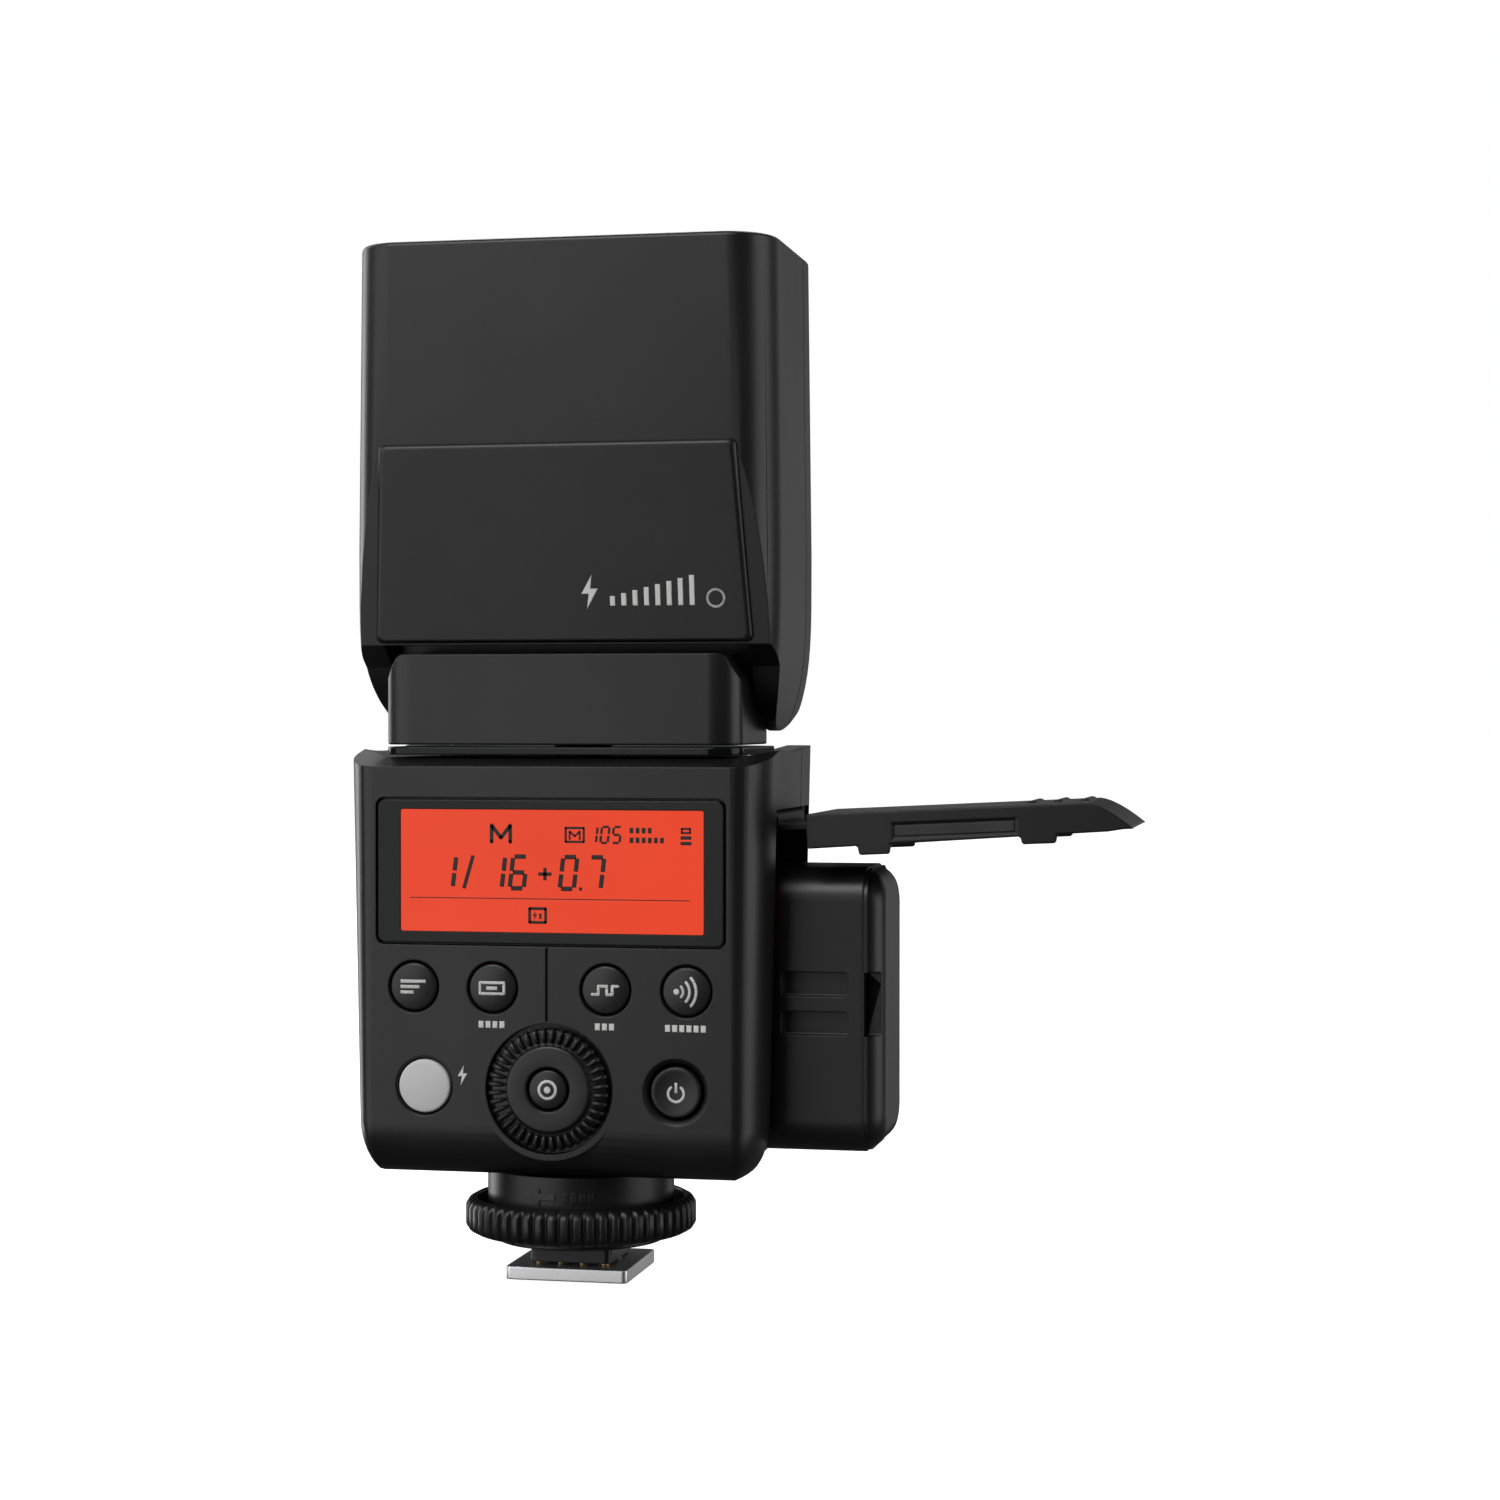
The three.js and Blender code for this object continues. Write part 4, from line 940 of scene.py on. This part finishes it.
# ---- neck ----
def build_neck():
    rear, front, skirt = Spot("neck_rear_shell"), Spot("neck_front_shell"), Spot("swivel_skirt")
    low, half, back = rear.z0, rear.half, rear.y0
    fore = skirt.y1
    flat = 22.4
    shoulder, shoulder_half = 88.8, 24.2
    top = 92.6

    def foot(inset):
        right = []
        for i in range(9):
            t = math.radians(90 * i / 8)
            right.append((flat + (half - inset - flat) * math.sin(t), back + inset + 4.0 * (1 - math.cos(t))))
        right += [(half - inset, fore - 3.2), (flat, fore - inset)]
        return right + [(-x, y) for x, y in reversed(right)]

    def tall(inset, z0, z1, edge):
        return loft([[(x, y, z) for x, y in foot(inset + ring)] for ring, z in eased(z0, z1, edge, edge)])

    face = [(-half, low - 1), (half, low - 1), (half, shoulder - 0.6), (half - 0.3, shoulder + 0.2)]
    face += [(shoulder_half + 0.7, top - 0.5), (shoulder_half - 0.2, top), (-shoulder_half + 0.2, top)]
    face += [(-shoulder_half - 0.7, top - 0.5), (-half + 0.3, shoulder + 0.2), (-half, shoulder - 0.6)]
    body = common(tall(0, low, 110, 0.3), prism(Y, face, -20, TILT["y"]))
    drum = rod(X, TILT["y"], TILT["z"], 12, -half, half, 96)
    hubs = rod(X, TILT["y"], TILT["z"], HUB_HOLE_R, -FAR, FAR, 48)
    room = block(-25.2, 25.2, back + 1.6, TILT["y"] - 1.2, low + 1.3, top - 1.6)
    drum_room = rod(X, TILT["y"], TILT["z"], 10.5, -22.3, 22.3, 64)
    neck = cut(join(body, drum), room, drum_room, hubs)
    back_half = common(neck, block(-FAR, FAR, -30, rear.y1, 60, 120))
    fore_half = common(neck, block(-FAR, FAR, front.y0, 40, 60, 120))
    piece("neck_block_rear", back_half, "shell", "black_shell", "neck", "neck_rear_shell",
          bevel=0.25, crease=26)
    piece("neck_block_front", fore_half, "shell", "black_shell", "neck", "neck_front_shell",
          bevel=0.2, crease=26)
    base = cut(tall(0, skirt.z0, skirt.z1, 0.2), rod(Z, 0, SWIVEL_Y, 4.7, 60, 90))
    piece("neck_skirt", base, "gloss", "black_shell", "neck", "swivel_skirt")


# ---- head ----
HEAD_BACK, HEAD_FORE = Spot("head_rear_shell"), Spot("head_front_shell")
HEAD_TOP = HEAD_BACK.z1
HEAD_HALF = max(HEAD_BACK.half, HEAD_FORE.half)


def head_half(z):
    if z < FLARE["z"]:
        return HEAD_HALF - FLARE["depth"] * ((FLARE["z"] - z) / FLARE["height"]) ** FLARE["power"]
    return HEAD_HALF - HEAD_TAPER * (z - FLARE["z"]) / 43


def head_solid(inset, low, top, rim=0.0):
    stations = [80 + 2 * i for i in range(15)] + [118, 130, 140]
    heights = [low] + [z for z in stations if low < z < top - rim - 0.5]
    levels = [(0.0, z) for z in heights]
    angles = [math.radians(22.5 * i) for i in range(5)]
    eased_top = [(rim * (1 - math.cos(t)), top - rim + rim * math.sin(t)) for t in angles]
    levels += eased_top if rim else [(0.0, top)]
    rings = []
    for ease, z in levels:
        half = head_half(z) - inset - ease
        shape = (half, half - HEAD_CORNER["flat"], HEAD_BACK.y0 + inset + ease, HEAD_FORE.y1 - inset - ease,
                 HEAD_CORNER["bevel"], HEAD_CORNER["front"] - inset)
        rings.append(section(*shape, z))
    return loft(rings)


def head_profile(inset, top):
    ear = arc(TILT["y"], TILT["z"], EAR_R - inset, 200, 360, 48)
    rear = HEAD_BACK.y0
    outline = [(rear + inset, top), (rear + inset, KINK_Z), (rear + HEM["in"] + inset, HEM["z"])]
    return prism(X, outline + ear + [(HEAD_FORE.y1 - inset, top)], -FAR, FAR)


def build_head():
    outer = common(head_solid(0, 80, HEAD_TOP, 0.7), head_profile(0, HEAD_TOP + 5))
    upper = common(head_solid(HEAD_WALL, OPEN_ROOF, HEAD_TOP + 1), head_profile(HEAD_WALL, 170))
    middle = common(block(-EAR_IN, EAR_IN, -30, 30, 70, OPEN_ROOF + 1), head_profile(HEAD_WALL, 170))
    front_gap = block(-EAR_IN, EAR_IN, 5, 40, 70, 98.5)
    rear_gap = block(-EAR_IN, EAR_IN, -40, 12, 70, HEM["z"])
    hubs = rod(X, TILT["y"], TILT["z"], HUB_HOLE_R, -29.5, 29.5)
    shell = cut(outer, upper, middle, front_gap, rear_gap, hubs)
    back = common(shell, block(-FAR, FAR, -30, HEAD_BACK.y1, 60, 200))
    fore = common(shell, block(-FAR, FAR, HEAD_FORE.y0, 60, 60, 200))
    piece("head_shell_rear", back, "shell", "black_shell", "head", "head_rear_shell", bevel=0.2, crease=26)
    piece("head_shell_front", fore, "shell", "black_shell", "head", "head_front_shell", bevel=0.2, crease=26)
    build_head_panel()
    build_lens()


def panel_back(z):
    """Rear face of the head's leaning lower back."""
    rear = HEAD_BACK.y0
    return rear + HEM["in"] * (KINK_Z - z) / (KINK_Z - HEM["z"])


def build_head_panel():
    spot = Spot("head_rear_panel")
    low, high = spot.z0, spot.z1
    half_low, half_high = spot.half, spot.half - PANEL["narrower"]
    edge, proud = PANEL["edge"], PANEL["proud"]

    def outline(inset):
        r = PANEL["corner"]
        corners = [(half_high - inset, high - inset), (-half_high + inset, high - inset),
                   (-half_low + inset, low + inset * 0.6), (half_low - inset, low + inset * 0.6)]
        points = []
        for k, (u, v) in enumerate(corners):
            start = 90 * k
            cu = u - r if u > 0 else u + r
            cv = v - r if k < 2 else v + r
            for i in range(7):
                t = math.radians(start + 15 * i)
                points.append((cu + r * math.cos(t), cv + r * math.sin(t)))
        return points

    rings = []
    for i in range(7):
        t = math.radians(15 * i)
        out = proud - edge * (1 - math.cos(t))
        rings.append([(u, panel_back(v) - out, v) for u, v in outline(edge * (1 - math.sin(t)))])
    rings.append([(u, panel_back(v) + PANEL["root"], v) for u, v in outline(0)])
    slab = loft(rings)
    piece("head_panel_raised", slab, "shell", "black_shell", "head", "head_rear_panel", crease=40)
    scale = [bar_print(8.0 + 1.7 * i, 99.6, 8.0 + 1.7 * i, 99.6 + 1.4 + 0.42 * i, 0.75) for i in range(8)]
    shapes = bolt_print(4.6, 101.6, 2.5) + scale + arc_print(23.4, 100.6, 1.25, 0, 360, 0.34)
    printed("head_generic_mark", shapes, lambda u, v, out: (u, panel_back(v) - proud - out, v), "head")


def build_lens():
    bezel, lens = Spot("lens_bezel"), Spot("fresnel_lens")
    frame_ring = head_solid(HEAD_WALL + GAP, bezel.z0, bezel.z1, 0.5)
    seat = block(lens.x0 - GAP, lens.x1 + GAP, lens.y0 - GAP, lens.y1 + GAP, 148.9, 160)
    mouth = block(lens.x0 + 1.2, lens.x1 - 1.2, lens.y0 + 1.1, lens.y1 - 1.1, 140, 160)
    slot = block(-22.8, 22.8, -11.5, -9.1, 140, 160)
    bezel_ring = cut(frame_ring, seat, mouth, slot)
    piece("lens_bezel_moulded", bezel_ring, "inner", "black_inner", "head", "lens_bezel", bevel=0.15)
    count = LENS_RIDGES
    depth = (lens.y1 - lens.y0 - 2) / count
    outline = [(lens.y0, lens.z0), (lens.y1, lens.z0), (lens.y1, lens.z1 - 0.5)]
    for i in range(count, 0, -1):
        y = lens.y0 + 1 + depth * i
        outline += [(y, lens.z1 - 0.5), (y - depth * 0.5, lens.z1)]
    outline += [(lens.y0 + 1, lens.z1 - 0.5), (lens.y0, lens.z1 - 0.5)]
    sheet = prism(X, outline, lens.x0, lens.x1)
    piece("fresnel_sheet", sheet, "clear", "clear_plastic", "head", "fresnel_lens", crease=20)


# ---- carried-over CAD nodes ----
KEPT = {
    "inner": ["battery_bay", "door_hinge_arm", "battery_ejector", "dial_encoder", "swivel_shaft",
              "zoom_carriage", "panel_guide"],
    "dark": ["main_capacitor"],
    "pin": ["door_hinge_pin", "bottom_screw_left", "bottom_screw_right", "zoom_motor"],
    "steel": ["usb_socket", "swivel_retainer", "tilt_hub_left", "tilt_hub_right", "lock_pin"],
    "brass": ["battery_contacts", "zoom_screw", "centre_contact", "small_contact_1", "small_contact_2",
              "small_contact_3", "small_contact_4"],
    "board": ["main_board", "flash_board", "head_board"],
    "rubber": ["button_pad"],
    "mirror": ["reflector"],
    "tube": ["flash_tube"],
    "clear": ["wide_panel"],
    "white": ["bounce_card"],
    "red": ["af_window"],
    "lcd": ["lcd_module"],
}


def dress_kept_nodes():
    for look, names in KEPT.items():
        for name in names:
            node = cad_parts[name]
            for slot in node.material_slots:
                slot.material = LOOKS[look]


# ---- studio ----
STUDIO_CIRCLE = arc(0, 0, 1, 0, 352.5, 47)


def build_studio():
    scene = bpy.context.scene
    scene.view_settings.view_transform = "Standard"
    low = CAD_BOUNDS[0][2] - FLOOR_DROP * MM
    data = bpy.data.meshes.new("studio_floor")
    rim = [(FLOOR_REACH * x, FLOOR_REACH * y, low) for x, y in STUDIO_CIRCLE]
    data.from_pydata(rim, [], [range(len(rim))])
    floor = bpy.data.objects.new("studio_floor", data)
    scene.collection.objects.link(floor)
    material, nodes, links, shader = new_material("pale_floor")
    links.new(ramp(nodes, links, noise(nodes, links, 3, 2), 0.80, 0.82), shader.inputs["Base Color"])
    shader.inputs["Roughness"].default_value = 0.9
    shader.inputs["Emission Color"].default_value = (1, 1, 1, 1)
    shader.inputs["Emission Strength"].default_value = FLOOR_GLOW
    data.materials.append(material)
    floor.visible_diffuse = False
    floor.visible_glossy = False
    world = bpy.data.worlds.new("studio_world")
    world.use_nodes = True
    world.node_tree.nodes["Background"].inputs["Color"].default_value = (1, 1, 1, 1)
    world.node_tree.nodes["Background"].inputs["Strength"].default_value = WORLD_GLOW
    scene.world = world
    build_backdrop()
    for name, (place, target, width, height, power) in SOFTBOXES.items():
        softbox(name, place, target, width, height, power)


def build_backdrop():
    """White surround that only the camera sees."""
    rings = []
    for a in [math.radians(-40 + 10 * i) for i in range(13)]:
        flat, z = BACKDROP * math.cos(a), BACKDROP * math.sin(a)
        rings.append([(flat * x, flat * y, z) for x, y in STUDIO_CIRCLE])
    points, faces = loft(rings)
    data = bpy.data.meshes.new("studio_backdrop")
    data.from_pydata(points, [], faces)
    surround = bpy.data.objects.new("studio_backdrop", data)
    bpy.context.scene.collection.objects.link(surround)
    material = bpy.data.materials.new("white_surround")
    material.use_nodes = True
    nodes = material.node_tree.nodes
    glow = nodes.new("ShaderNodeEmission")
    glow.inputs["Strength"].default_value = 1.0
    material.node_tree.links.new(glow.outputs["Emission"], nodes["Material Output"].inputs["Surface"])
    data.materials.append(material)
    surround.visible_diffuse = False
    surround.visible_glossy = False
    surround.visible_transmission = False
    surround.visible_shadow = False


def softbox(name, place, target, width, height, power):
    light = bpy.data.lights.new(name, "AREA")
    light.shape = "RECTANGLE"
    light.size, light.size_y = width, height
    light.energy = power
    obj = bpy.data.objects.new(name, light)
    obj.location = place
    obj.rotation_euler = (Vector(target) - Vector(place)).to_track_quat("-Z", "Y").to_euler()
    bpy.context.scene.collection.objects.link(obj)


def build_camera():
    data = bpy.data.cameras.new("camera")
    data.lens = CAMERA["lens"]
    data.sensor_width = 36
    data.clip_start = 0.01
    camera = bpy.data.objects.new("camera", data)
    camera.location = [CAMERA[axis] * MM for axis in "xyz"]
    camera.rotation_euler = (math.radians(90 - CAMERA["pitch"]), 0, math.radians(CAMERA["yaw"]))
    bpy.context.scene.collection.objects.link(camera)
    bpy.context.scene.camera = camera


build_camera()
build_body()
build_display()
build_controls()
build_dial()
build_foot()
build_battery()
build_door()
build_neck()
build_head()
dress_kept_nodes()
build_studio()
